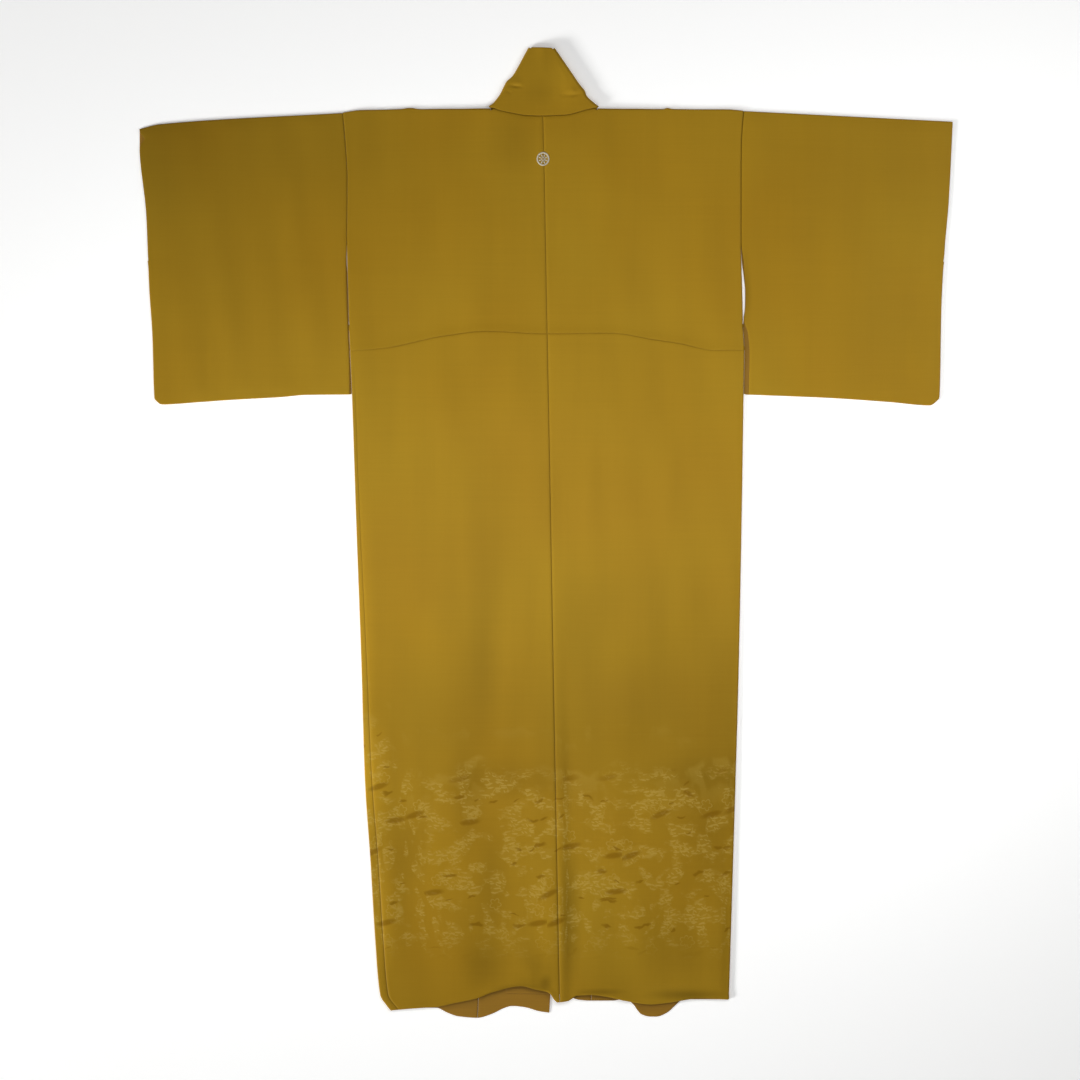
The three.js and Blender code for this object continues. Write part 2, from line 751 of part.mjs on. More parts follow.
const kimono = new THREE.Group();
for (const hand of ["left", "right"]) {
  kimono.add(bodyPanel(hand));
  kimono.add(overlapPanel(hand));
  kimono.add(sleeve(hand));
}

const band = bandNet();
const overOffset = BAND / 2 + LAYER_GAP + CLOTH / 2;
const underOver = band.filter((row) => row[0].at.y > OVER_END);
kimono.add(collar("collar", BAND, 0, band, "#9a781f"));
kimono.add(collar("over_collar", CLOTH, overOffset, underOver, "#a07d22"));

export default kimono;
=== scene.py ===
import functools
import math

import bmesh
import bpy
import numpy as np
from mathutils import Matrix, Vector


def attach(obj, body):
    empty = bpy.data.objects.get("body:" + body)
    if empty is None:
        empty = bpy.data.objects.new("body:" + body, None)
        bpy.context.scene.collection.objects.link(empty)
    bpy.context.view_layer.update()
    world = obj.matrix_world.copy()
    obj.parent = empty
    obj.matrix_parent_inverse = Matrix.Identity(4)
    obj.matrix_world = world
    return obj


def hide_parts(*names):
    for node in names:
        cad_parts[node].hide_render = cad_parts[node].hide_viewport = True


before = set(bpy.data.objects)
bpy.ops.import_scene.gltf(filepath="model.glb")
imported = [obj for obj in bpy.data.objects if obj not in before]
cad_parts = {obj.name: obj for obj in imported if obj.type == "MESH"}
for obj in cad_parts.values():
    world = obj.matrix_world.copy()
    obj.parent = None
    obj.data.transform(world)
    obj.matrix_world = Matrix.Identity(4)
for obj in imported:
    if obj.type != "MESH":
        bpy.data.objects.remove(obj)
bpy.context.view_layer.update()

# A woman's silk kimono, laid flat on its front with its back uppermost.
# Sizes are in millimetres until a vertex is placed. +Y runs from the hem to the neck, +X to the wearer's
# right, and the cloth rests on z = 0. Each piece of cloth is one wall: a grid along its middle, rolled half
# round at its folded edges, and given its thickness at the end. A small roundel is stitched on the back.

MM = 0.001

# ---- Cloth ----
CLOTH = 1.2  # crepe and its lining together
BAND = 1.6  # collar band, with its turned-in edges
SEAM_GAP = 0.2  # between pieces that are sewn edge to edge
NECK_GAP = 0.4  # between a body panel and the collar's foot at the neck corner
LAYER_GAP = 0.3  # between layers that lie on each other
SLACK = 0.5  # air that a bridging layer holds above what it crosses
FOLD_RISE = 0.7  # how much a folded edge springs up
FOLD_REACH = 34  # how far in from the edge it does so
FLAT_REACH = 9  # how far in from a folded edge the cloth's own looseness is held down

# ---- Levels along the length (y) ----
HEM_SIDE = -788
ARMHOLE_FOOT = 479  # sleeve sewn on above this
OPENING_FOOT = 334  # side seam closed below this
KENSAKI = 470  # where the overlap panel's seam runs into the collar seam
COLLAR_END = -80  # lower end of the collar's seam
OVER_END = 250  # lower end of the over-collar
WRIST_FOOT = 440  # wrist opening above this
TUCK_LEVEL = 300  # about where the waist tuck is sewn
SHOULDER_LEVEL = 700.0  # about where the cloth is folded over the shoulder


def table(columns, *rows):
    """A short table: the words name the columns."""
    return dict(zip(columns.split(), np.array(rows, float).T))


# ---- Sections across the body: where the sides and the centre back seam lie (x) at each height (y) ----
SECTIONS = table(
    "y left centre right",
    (HEM_SIDE, -256, 22.8, 300.5),
    (-762, -274, 22.4, 302),
    (-672, -282, 20.6, 305),
    (-540, -290, 18.1, 309),
    (-408, -299, 15.6, 313),
    (-210, -305, 11.9, 318.5),
    (22, -313.5, 7.8, 323),
    (229, -320.4, 4, 326.3),
    (300, -323.6, 2.6, 327.4),
    (OPENING_FOOT, -325, 2, 325.5),
    (405, -327, 0.7, 323.8),
    (ARMHOLE_FOOT, -328.6, -0.6, 322),
    (587, -328, -2.5, 322),
    (642, -331, -3.9, 322.6),
    (700, -336, -5.2, 326.4),
)

# ---- Shoulder line, with the back neck seam dipping between x = -91 and x = 85 ----
SHOULDER = table(
    "x y",
    (-340, 693.5),
    (-305, 698),
    (-240, 699.6),
    (-224, 701.6),
    (-208, 699.6),
    (-110, 700.4),
    (-91, 700.2),
    (-75, 696.3),
    (-54, 691.8),
    (-31, 688),
    (-5, 687.4),
    (14, 688),
    (35, 689),
    (55, 694),
    (72, 698.6),
    (85, 700.2),
    (194, 699.6),
    (201, 701.6),
    (209, 699.6),
    (300, 699),
    (330, 696.6),
)
NECK_LEFT = -91
NECK_RIGHT = 84.5

# ---- Waist tuck, sewn across the back, and how strongly its edge stands up ----
TUCK = table(
    "x y lip",
    (-325, 301, 0.3),
    (-264, 306, 0.8),
    (-172, 325, 1),
    (-97, 333, 1),
    (1, 329, 0.9),
    (107, 330, 0.9),
    (176, 320, 1),
    (222, 313, 1),
    (278, 302, 0.8),
    (328, 302, 0.6),
)
TUCK_LIP = 0.9  # height of its edge
TUCK_REACH = 9  # how far above its seam it stays raised
TUCK_DROP = 0.5  # over what distance it drops below it
TUCK_DIP = 0.3  # depth of the dip at its foot, as a share of its height
TUCK_MARK = 0.95  # how dark its seam is
TUCK_SOFTENS = (250, 420)  # the centre seam is softer above the tuck, from and to these levels
TUCK_SOFTNESS = 0.35

# ---- Hems ----
BACK_HEM = table(
    "x y",
    (-256, HEM_SIDE),
    (-224, -785),
    (-181, -782),
    (-150, -775.5),
    (-115, -768),
    (-87, -757),
    (-41, -747),
    (-16, -753),
    (5, -758),
    (18, -774),
    (36, -772),
    (52, -763),
    (76, -762),
    (100, -765),
    (130, -772),
    (172, -778),
    (200, -775.5),
    (254, -768),
    (301, -770),
)
FRONT_HEM_LEFT = table(
    "x y",
    (-256, HEM_SIDE),
    (-200, -784),
    (-181, -784),
    (-163, -792),
    (-145, -798),
    (-113, -800.6),
    (-89, -794),
    (-68, -784),
    (-56, -781),
    (-35, -783),
    (-10, -790),
    (5, -792),
)
FRONT_HEM_RIGHT = table(
    "x y",
    (-65, -760),
    (36, -762),
    (50, -770),
    (75, -772),
    (112, -772),
    (130, -769),
    (142, -776),
    (157, -794.5),
    (172, -798.6),
    (183, -798.6),
    (200, -792),
    (214.5, -779),
    (226, -770),
    (301, -770),
)

# ---- Inner edges of the fronts: the overlap panel's seam, and its front edge under the collar ----
FRONT_EDGES = table(
    "y leftSeam leftEdge rightSeam rightEdge",
    (-800, -113, 5, 75, -65),
    (-500, -100, 22, 71, -64),
    (COLLAR_END, -81, 50, 60, -57),
    (KENSAKI, -57, -57, 50, 50),
)

# ---- Collar band down the left front, from its end to the slanted fold: its sewn and its free edge ----
COLLAR_ARM = table(
    "seamX seamY freeX freeY",
    (50, COLLAR_END, 161, -58),
    (31, 18, 142, 40),
    (12, 115, 122.5, 137),
    (-7, 212, 103.5, 235),
    (-26, 310, 84, 333),
    (-42, 390, 66.5, 414),
    (-57, KENSAKI, 49.5, 497),
    (-69, 540, 31, 573),
    (-78, 600, 14, 643),
    (-85, 650, -3, 706),
    (-89, 680, -14, 754),
    (-91, 701.3, -24, 799),
)
COLLAR_MIDDLE = -3.5  # the right front's band mirrors the left one's across this line
FOLD_LEFT = {"seamX": -91, "seamY": 701.3, "freeX": -24, "freeY": 799}
FOLD_RIGHT = {"seamX": 84.5, "seamY": 701.3, "freeX": 10.5, "freeY": 797}
COLLAR_TOP = 801
BAND_WIDTH = 115
STAND_TURN = 1.3  # radius at which the band is folded down
STAND_RISE = 1.0  # how much higher the standing part lies than its turns need
# The folds aren't quite straight: how far each strays to the right at a height.
WAVE_LEFT = table(
    "y by",
    (701, -2.7),
    (709, 3.6),
    (720, 4.6),
    (735, 2.2),
    (743, 0.8),
    (753, 4.6),
    (767, 3.4),
    (786, 0.5),
    (801, -1.6),
)
WAVE_RIGHT = table(
    "y by",
    (700, 0),
    (705, -2.6),
    (719, -7.4),
    (729, -3.8),
    (737, -4.4),
    (756, -2.8),
    (777, -1),
    (797, 0.8),
)
WAVE_REACH = 16
WAVE_FOOT = (701, 705)  # heights between which a fold starts to stray
RIGHT_TURN = 0.82  # share of the right arm past which it leaves the mirrored line to meet its fold

# ---- Sleeves: the heights between which each lies, its outer edge, its top and its bottom ----
SLEEVES = {
    "left": {
        "span": (212, 667),
        "outer": table(
            "y x",
            (212, -645),
            (228, -647),
            (327, -650),
            (401, -655),
            (525, -660),
            (640, -671),
            (668, -671),
        ),
        "top": table("x y", (-671, 667), (-637, 675), (-336, 693.5)),
        "bottom": table(
            "x y",
            (-647, 222),
            (-634, 212),
            (-571, 216),
            (-521, 219.5),
            (-435, 224.4),
            (-398, 227.7),
            (-320, 228.5),
        ),
    },
    "right": {
        "span": (211, 679),
        "outer": table(
            "y x",
            (211, 647),
            (228, 650),
            (376, 653),
            (467, 658),
            (549, 665),
            (680, 671.5),
        ),
        "top": table("x y", (326, 696.6), (671.5, 679)),
        "bottom": table(
            "x y",
            (326, 228.5),
            (394, 226),
            (469, 222.8),
            (568, 216),
            (634, 210.5),
            (648, 221),
        ),
    },
}
# How far each layer's inner edge lies from the body. It is loose below the armhole's foot.
LOOSE_EDGE = table(
    "y left leftUnder right rightUnder",
    (210, 4.6, 0.4, 8.2, 0.4),
    (302, 2, 0.4, 8.6, 0.4),
    (334, 2.2, 0.4, 7.4, 0.4),
    (343, 2.3, 0.4, 3, 0.5),
    (352, 2.4, 0.4, 2.4, 1.2),
    (375, 2.6, 0.4, 4.8, 4.2),
    (400, 2.6, 0.4, 5.4, 4.8),
    (427, 2.4, 0.4, 4.8, 3),
    (448, 2.2, 0.9, 4, 0.9),
    (ARMHOLE_FOOT, SEAM_GAP, SEAM_GAP, SEAM_GAP, SEAM_GAP),
    (700, SEAM_GAP, SEAM_GAP, SEAM_GAP, SEAM_GAP),
)

# ---- Folds of the upper layers: soft ridges (height > 0) and troughs, turned some degrees from +Y ----
FOLDS = table(
    "x y length turn width height",
    (2, -610, 300, 3, 24, 1.4),
    (-148, -670, 240, 8, 34, 3),
    (-205, -560, 420, 4, 40, 2.2),
    (150, -640, 260, -9, 44, 2.6),
    (235, -420, 520, -3, 46, 2),
    (120, -300, 230, 78, 46, 2.4),
    (-150, -180, 420, 8, 60, 1.8),
    (-470, 420, 330, 12, 60, 2.2),
    (500, 380, 360, -10, 64, 2.2),
    (-190, 470, 300, -20, 60, 1.5),
    (180, 500, 320, 18, 60, 1.5),
)
# Broad swells that a lustrous cloth shows as light and dark bands.
SWELLS = table(
    "x y length turn width height",
    (-176, -350, 760, 1, 56, 4.2),
    (-262, -500, 620, 1, 17, 1.3),
    (-60, -210, 420, -3, 40, 1.2),
    (140, -220, 560, -2, 60, 2.4),
    (150, -480, 460, -3, 72, 3.6),
    (262, -690, 240, 4, 36, 1.4),
    (90, -640, 240, 8, 34, 1.4),
    (-150, 130, 330, 2, 34, 0.7),
    (-62, 190, 260, -1, 26, 0.5),
    (120, 150, 340, 1, 40, 0.8),
    (230, 190, 300, -2, 30, 0.6),
    (-170, 560, 240, 2, 60, 0.6),
    (130, 560, 240, -3, 60, 0.6),
    (-500, 330, 300, 3, 50, 0.6),
    (-410, 470, 380, -2, 34, 0.4),
    (-590, 520, 260, 5, 40, 0.4),
    (420, 470, 400, 2, 44, 0.5),
    (520, 330, 260, -4, 48, 0.5),
    (600, 560, 260, -3, 36, 0.4),
)
# Smaller creases, each a sharp trough or ridge.
CREASES = table(
    "x y length turn width height",
    (-6, -738, 60, 40, 9, -1.2),
    (-20, -722, 80, 52, 14, 1.6),
    (190, -742, 230, 88, 9, -1),
    (215, -757, 150, 90, 7, 0.8),
    (76, 100, 300, 0, 11, 0.5),
    (-90, 60, 340, 3, 13, 0.35),
    (-215, 150, 260, -4, 12, 0.4),
    (205, 40, 380, 2, 14, 0.5),
    (-30, 520, 260, 3, 12, 0.4),
    (110, 560, 200, -4, 10, 0.35),
    (-240, 560, 240, 6, 11, 0.4),
    (-520, 330, 260, 4, 14, 0.25),
    (-420, 520, 240, -7, 15, 0.22),
    (-590, 480, 280, 3, 15, 0.2),
    (430, 450, 300, 4, 14, 0.3),
    (560, 500, 260, -6, 15, 0.3),
    (610, 300, 150, 8, 9, 0.4),
)
# A low ridge along the centre back seam, steep on its right: where its top lies and how high it is.
SEAM_RIDGE = table(
    "y x height",
    (-790, 27, 1.8),
    (-650, 26, 2.4),
    (-450, 24, 2.2),
    (-340, 22, 1.5),
    (-200, 19, 0.8),
    (-100, 16, 0.3),
    (-40, 14, 0),
)
RIDGE_LEFT = 75  # how far it reaches to each side
RIDGE_RIGHT = 9.5
# Where the back hem lifts clear of the front: how far along x, and how high.
HEM_LIFTS = table("x width height", (-52, 44, 3.4), (78, 46, 2.2), (-180, 60, 0.8), (215, 55, 0.9))
HEM_LIFT_REACH = 60
# The line along which the left side is sewn shows a little inside the folded edge.
SIDE_SEAM = table(
    "y in depth",
    (-790, 13.5, 0.75),
    (-640, 13.5, 0.75),
    (-464, 12.5, 0.7),
    (-286, 10, 0.6),
    (-60, 7.5, 0.5),
    (150, 5.5, 0.4),
    (320, 4.5, 0.15),
)
GROOVE_WIDTH = 0.75
GROOVE_ENDS = (200, 320)  # heights between which it fades away

# ---- How edges that are sewn look ----
EDGE_THIN = 0.6  # share of the wall that is pressed away at a sewn edge
EDGE_REACH = 0.9
EDGE_DIP = 0.3
DIP_REACH = 1.7
SEAM_SHADE = 0.75  # how far the shade of a seam reaches
HEM_ROLL = 1.1  # padded roll along the hem
HEM_ROLL_WIDTH = 3.6
UNDER_HEM = 0.6  # how deep the shade is just under it
UNDER_HEM_REACH = 8
FAR = 99  # distance that stands for no edge near

# ---- How fine the grids are ----
CELL = 6.0
ROLL_STEPS = 6
PASSES = 4  # rounds that settle x and y where each depends on the other


# ---- Helpers ----
def mix(a, b, share):
    return a + (b - a) * share


def smooth(low, high, value):
    t = np.clip((value - low) / (high - low), 0, 1)
    return t * t * (3 - 2 * t)


def bell(distance, width):
    return np.exp(-((distance / width) ** 2))


def follow(rows, along, column, value):
    """Value of a column at a place along a table, on a smooth curve through its rows."""
    places, levels = rows[along], rows[column]
    at = np.clip(value, places[0], places[-1])
    k = np.clip(np.searchsorted(places, at) - 1, 0, len(places) - 2)
    slopes = np.diff(levels) / np.diff(places)
    before, after = slopes[:-1], slopes[1:]
    both = np.where(before * after <= 0, 1, before + after)
    gentle = np.where(before * after <= 0, 0, 2 * before * after / both)
    ends = np.concatenate([slopes[:1], gentle, slopes[-1:]])
    step = places[k + 1] - places[k]
    t = (at - places[k]) / step
    rise = levels[k + 1] - levels[k]
    return (
        levels[k]
        + rise * t * t * (3 - 2 * t)
        + step * (ends[k] * t * (1 - t) ** 2 - ends[k + 1] * t * t * (1 - t))
    )


def rows_of(rows):
    """The rows of a table, one dictionary each."""
    return [dict(zip(rows, values)) for values in zip(*rows.values())]


# ---- How the layers rise over each other ----
OVER_REACH = 34  # how far past an edge the layer above stays lifted
OVER_SOFT = 110  # and over what distance it comes down
ONE_LAYER = CLOTH + LAYER_GAP
ARM_EXTRA = BAND - CLOTH  # what the band adds to a single layer
OVER_EXTRA = ONE_LAYER  # and what the over-collar adds to that


def cover(past):
    """1 while a place is short of an edge or just past it, falling softly to 0 beyond."""
    return 1 - smooth(OVER_REACH, OVER_REACH + OVER_SOFT, past)


def seam_left(y):
    return follow(COLLAR_ARM, "seamY", "seamX", y)


def free_left(y):
    return follow(COLLAR_ARM, "freeY", "freeX", y)


def mirrored(x):
    return 2 * COLLAR_MIDDLE - x


def starts_at(end, y):
    """1 where something that ends at a height lies below or near a place, falling to 0 further down."""
    return smooth(end - OVER_REACH - OVER_SOFT, end - OVER_REACH, y)


def reach_left(y):
    """Inner limit of the left front: its overlap panel's front edge, then the collar's free edge."""
    return mix(follow(FRONT_EDGES, "y", "leftEdge", y), free_left(y), starts_at(COLLAR_END, y))


def reach_right(y):
    edge = follow(FRONT_EDGES, "y", "rightEdge", y)
    return mix(edge, mirrored(free_left(y)), starts_at(COLLAR_END, y))


def collar_lift(x, y, seam, free):
    """What the collar adds to its front's own height, under a layer that crosses it."""
    past = np.maximum(seam - x, x - free)
    return cover(past) * (ARM_EXTRA * starts_at(COLLAR_END, y) + OVER_EXTRA * starts_at(OVER_END, y))


def over_left(x, y):
    """Height of the surface under the right front: the left front where it reaches, or the floor."""
    return ONE_LAYER * cover(x - reach_left(y)) + collar_lift(x, y, seam_left(y), free_left(y))


def over_fronts(x, y):
    """Height of the surface under the backs."""
    right = (ONE_LAYER + SLACK) * cover(reach_right(y) - x)
    band = collar_lift(x, y, mirrored(free_left(y)), mirrored(seam_left(y)))
    return over_left(x, y) + right + band


def fold_height(x, y, folds):
    total = np.zeros(np.broadcast(x, y).shape)
    for fold in rows_of(folds):
        turn = math.radians(fold["turn"])
        along = (y - fold["y"]) * math.cos(turn) - (x - fold["x"]) * math.sin(turn)
        across = (x - fold["x"]) * math.cos(turn) + (y - fold["y"]) * math.sin(turn)
        reach = np.maximum(0, 1 - (along / (fold["length"] / 2)) ** 2)
        total += fold["height"] * reach**2 * bell(across, fold["width"])
    return total


def spring(distance):
    """A folded edge springs up: how much, at a distance in from it."""
    return FOLD_RISE * bell(distance, FOLD_REACH)


def turn_room(apart):
    """Room that a folded edge takes beyond the middle of its cloth, where layers lie so far apart."""
    return (apart + FOLD_RISE + CLOTH) / 2


def closed_below(foot, y):
    """1 below the foot of an opening, 0 a little above it."""
    return 1 - smooth(foot - 6, foot + 20, y)


TURN_DEPTH = turn_room(ONE_LAYER)

# Slow unevenness of cloth that has been handled: waves of two sizes, longer along y than across.
wave_draw = np.random.default_rng(11)
WAVES = [
    (
        2 * math.pi / wave_draw.uniform(*across),
        2 * math.pi / wave_draw.uniform(*along) * wave_draw.choice([-1, 1]),
        wave_draw.uniform(0, 2 * math.pi),
        height,
    )
    for across, along, height, count in (
        ((55, 150), (150, 500), 0.09, 9),
        ((14, 34), (30, 110), 0.012, 10),
    )
    for _ in range(count)
]


def drape(x, y):
    """Height of the unevenness, never below 0."""
    total = sum(height * np.sin(x * kx + y * ky + phase) for kx, ky, phase, height in WAVES)
    return np.maximum(0, 0.45 + total)


def loose_height(x, y):
    """What the cloth's own looseness adds to a layer, away from its edges."""
    return drape(x, y) + fold_height(x, y, SWELLS) + fold_height(x, y, CREASES)


def seam_ridge(x, y):
    """Height of the ridge along the centre back seam."""
    off = x - follow(SEAM_RIDGE, "y", "x", y)
    return follow(SEAM_RIDGE, "y", "height", y) * bell(off, np.where(off < 0, RIDGE_LEFT, RIDGE_RIGHT))


def hem_lift(x, above_hem):
    """How far the back hem stands clear of the fronts."""
    rise = sum(lift["height"] * bell(x - lift["x"], lift["width"]) for lift in rows_of(HEM_LIFTS))
    return rise * bell(np.maximum(0, above_hem), HEM_LIFT_REACH)


def under_hem(x, y):
    """Shade on the fronts just past the back hem, which stands a little above them."""
    return UNDER_HEM * bell(follow(BACK_HEM, "x", "y", x) - y, UNDER_HEM_REACH)


def hem_roll(above_hem):
    """Height of the padded roll along the hem."""
    return HEM_ROLL * bell(above_hem - HEM_ROLL_WIDTH, HEM_ROLL_WIDTH)


def edge_wall(distance):
    """Share of the wall that is left at a distance from a sewn edge."""
    return 1 - EDGE_THIN * bell(distance, EDGE_REACH)


# ---- Making cloth ----
def new_cloth():
    bm = bmesh.new()
    bm.verts.layers.deform.verify()
    # The "seam" value is how deep the painted shade is: at sewn edges, under the back hem, where a sleeve
    # gapes.
    bm.verts.layers.float.new("seam")
    return bm


def net(bm, across, along, place):
    """A grid of cloth. place gives x, y, z, the share of the wall and how deep the painted shade is, for
    arrays of column and row numbers. Returns the vertices by column and row."""
    columns, rows = len(across) - 1, len(along) - 1
    made = bmesh.ops.create_grid(bm, x_segments=columns, y_segments=rows, size=1)["verts"]
    i = np.array([round((v.co.x + 1) / 2 * columns) for v in made])
    j = np.array([round((v.co.y + 1) / 2 * rows) for v in made])
    values = np.broadcast_arrays(*place(i, j))
    deform = bm.verts.layers.deform.active
    seam = bm.verts.layers.float["seam"]
    lines = [[None] * (rows + 1) for _ in range(columns + 1)]
    for vert, column, row, x, y, z, wall, mark in zip(made, i, j, *values):
        vert.co = (x * MM, y * MM, z * MM)
        vert[deform][0] = float(wall)
        vert[seam] = float(mark)
        lines[column][row] = vert
    return lines


def roll(bm, upper, lower, hand):
    """Rolls cloth half round from the edge of an upper layer to that of a lower one, standing out to the
    left (hand 1) or to the right (hand -1) of the way along the edge."""
    ends = [upper[0], *upper, upper[-1]]
    ways = [(after.co - before.co).xy.normalized() for before, after in zip(ends, ends[2:])]
    away = [Vector((-way.y, way.x, 0)) * hand for way in ways]
    line = list(upper)
    for angle in np.linspace(math.pi / 2, -math.pi / 2, ROLL_STEPS + 1)[1:]:
        edges = [bm.edges.get(pair) for pair in zip(line, line[1:])]
        made = bmesh.ops.extrude_edge_only(bm, edges=edges)["geom"]
        fresh = {v for v in made if isinstance(v, bmesh.types.BMVert)}
        line = [next(e.other_vert(v) for e in v.link_edges if e.other_vert(v) in fresh) for v in line]
        for vert, top, foot, out in zip(line, upper, lower, away):
            radius = (top.co.z - foot.co.z) / 2
            middle = foot.co.lerp(top.co, (1 + math.sin(angle)) / 2)
            vert.co = middle + out * radius * math.cos(angle)


def new_object(name, bm):
    mesh = bpy.data.meshes.new(name)
    bm.to_mesh(mesh)
    bm.free()
    piece = bpy.data.objects.new(name, mesh)
    bpy.context.scene.collection.objects.link(piece)
    return piece


def make_piece(name, node, bm, facing, thickness, held):
    """Turns a surface into a wall of cloth, in place of its solid. facing says which way the outer side of
    its first face looks, 1 up and -1 down. What is laid flat is lined on its inner side."""
    bmesh.ops.remove_doubles(bm, verts=bm.verts, dist=0.002 * MM)
    bmesh.ops.recalc_face_normals(bm, faces=bm.faces)
    bm.faces.ensure_lookup_table()
    bm.normal_update()
    if bm.faces[0].normal.z * facing < 0:
        bmesh.ops.reverse_faces(bm, faces=bm.faces)
    for face in bm.faces:
        face.smooth = True
    piece = new_object(name, bm)
    piece.vertex_groups.new(name="wall")
    wall = piece.modifiers.new("wall", "SOLIDIFY")
    wall.thickness = thickness * MM
    wall.offset = 0
    wall.vertex_group = "wall"
    wall.thickness_vertex_group = 0
    piece.data.materials.append(silk_crepe())
    if held == "laid":
        piece.data.materials.append(silk_lining())
        wall.material_offset = 1
    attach(piece, "root")
    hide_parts(node)


def spread(stretch, length, low=0.0, high=1.0):
    """Even shares of a stretch of about that length, without its ends."""
    count = max(2, round(length / CELL))
    return [(stretch, k / count, 0) for k in range(1, count) if low < k / count < high]


HUG = (1.9, 1.0, 0.45, 0)  # distances from a sewn edge that have a line of their own

# ---- Body panels ----
STRIP_LEAST = 4.2
BODY_COLUMNS = [
    (0, 0, 0),
    (0, 0.22, 0),
    (0, 0.45, 0),
    *((1, 0, off) for off in (-1.4, -0.7, -0.3, 0, 0.3, 0.7, 1.4)),
    *spread(1, 235),
    *((2, 0, -off) for off in HUG),
    *spread(2, 95, high=0.97),
    *((3, 0, -off) for off in HUG),
]
NECK_COLUMN = BODY_COLUMNS.index((2, 0, 0))
TUCK_ROWS = ((0, 1, off) for off in (-9, -5, -2.8, -1.6, -0.9, -0.5))
BODY_ROWS = [
    *((0, 0, off) for off in (0, 0.5, 1.3, 2.6, 4.2)),
    *spread(0, 1090, low=0.006, high=0.99),
    *TUCK_ROWS,
    *((1, 0, off) for off in (0, 0.6, 1.5, 3, 5.5, 9)),
    *spread(1, 385, low=0.026, high=0.985),
    *((1, 1, -off) for off in HUG),
]


def split(spots):
    """Arrays of the stretch, the share and the offset of each column or row."""
    return np.array([s[0] for s in spots]), np.array([s[1] for s in spots]), np.array([s[2] for s in spots])


def tuck_edge(x, y):
    """Edge of the waist tuck, a lip above its seam and a small dip below: its height, and how dark the seam
    is."""
    above = y - follow(TUCK, "x", "y", x)
    strength = follow(TUCK, "x", "lip", x)
    lip = np.where(above >= 0, bell(above, TUCK_REACH), np.clip(1 + above / TUCK_DROP, 0, 1))
    dip = TUCK_DIP * bell(above + 1.0, 1.3)
    return TUCK_LIP * strength * (lip - dip), TUCK_MARK * bell(above + 0.6, 1.1) * strength


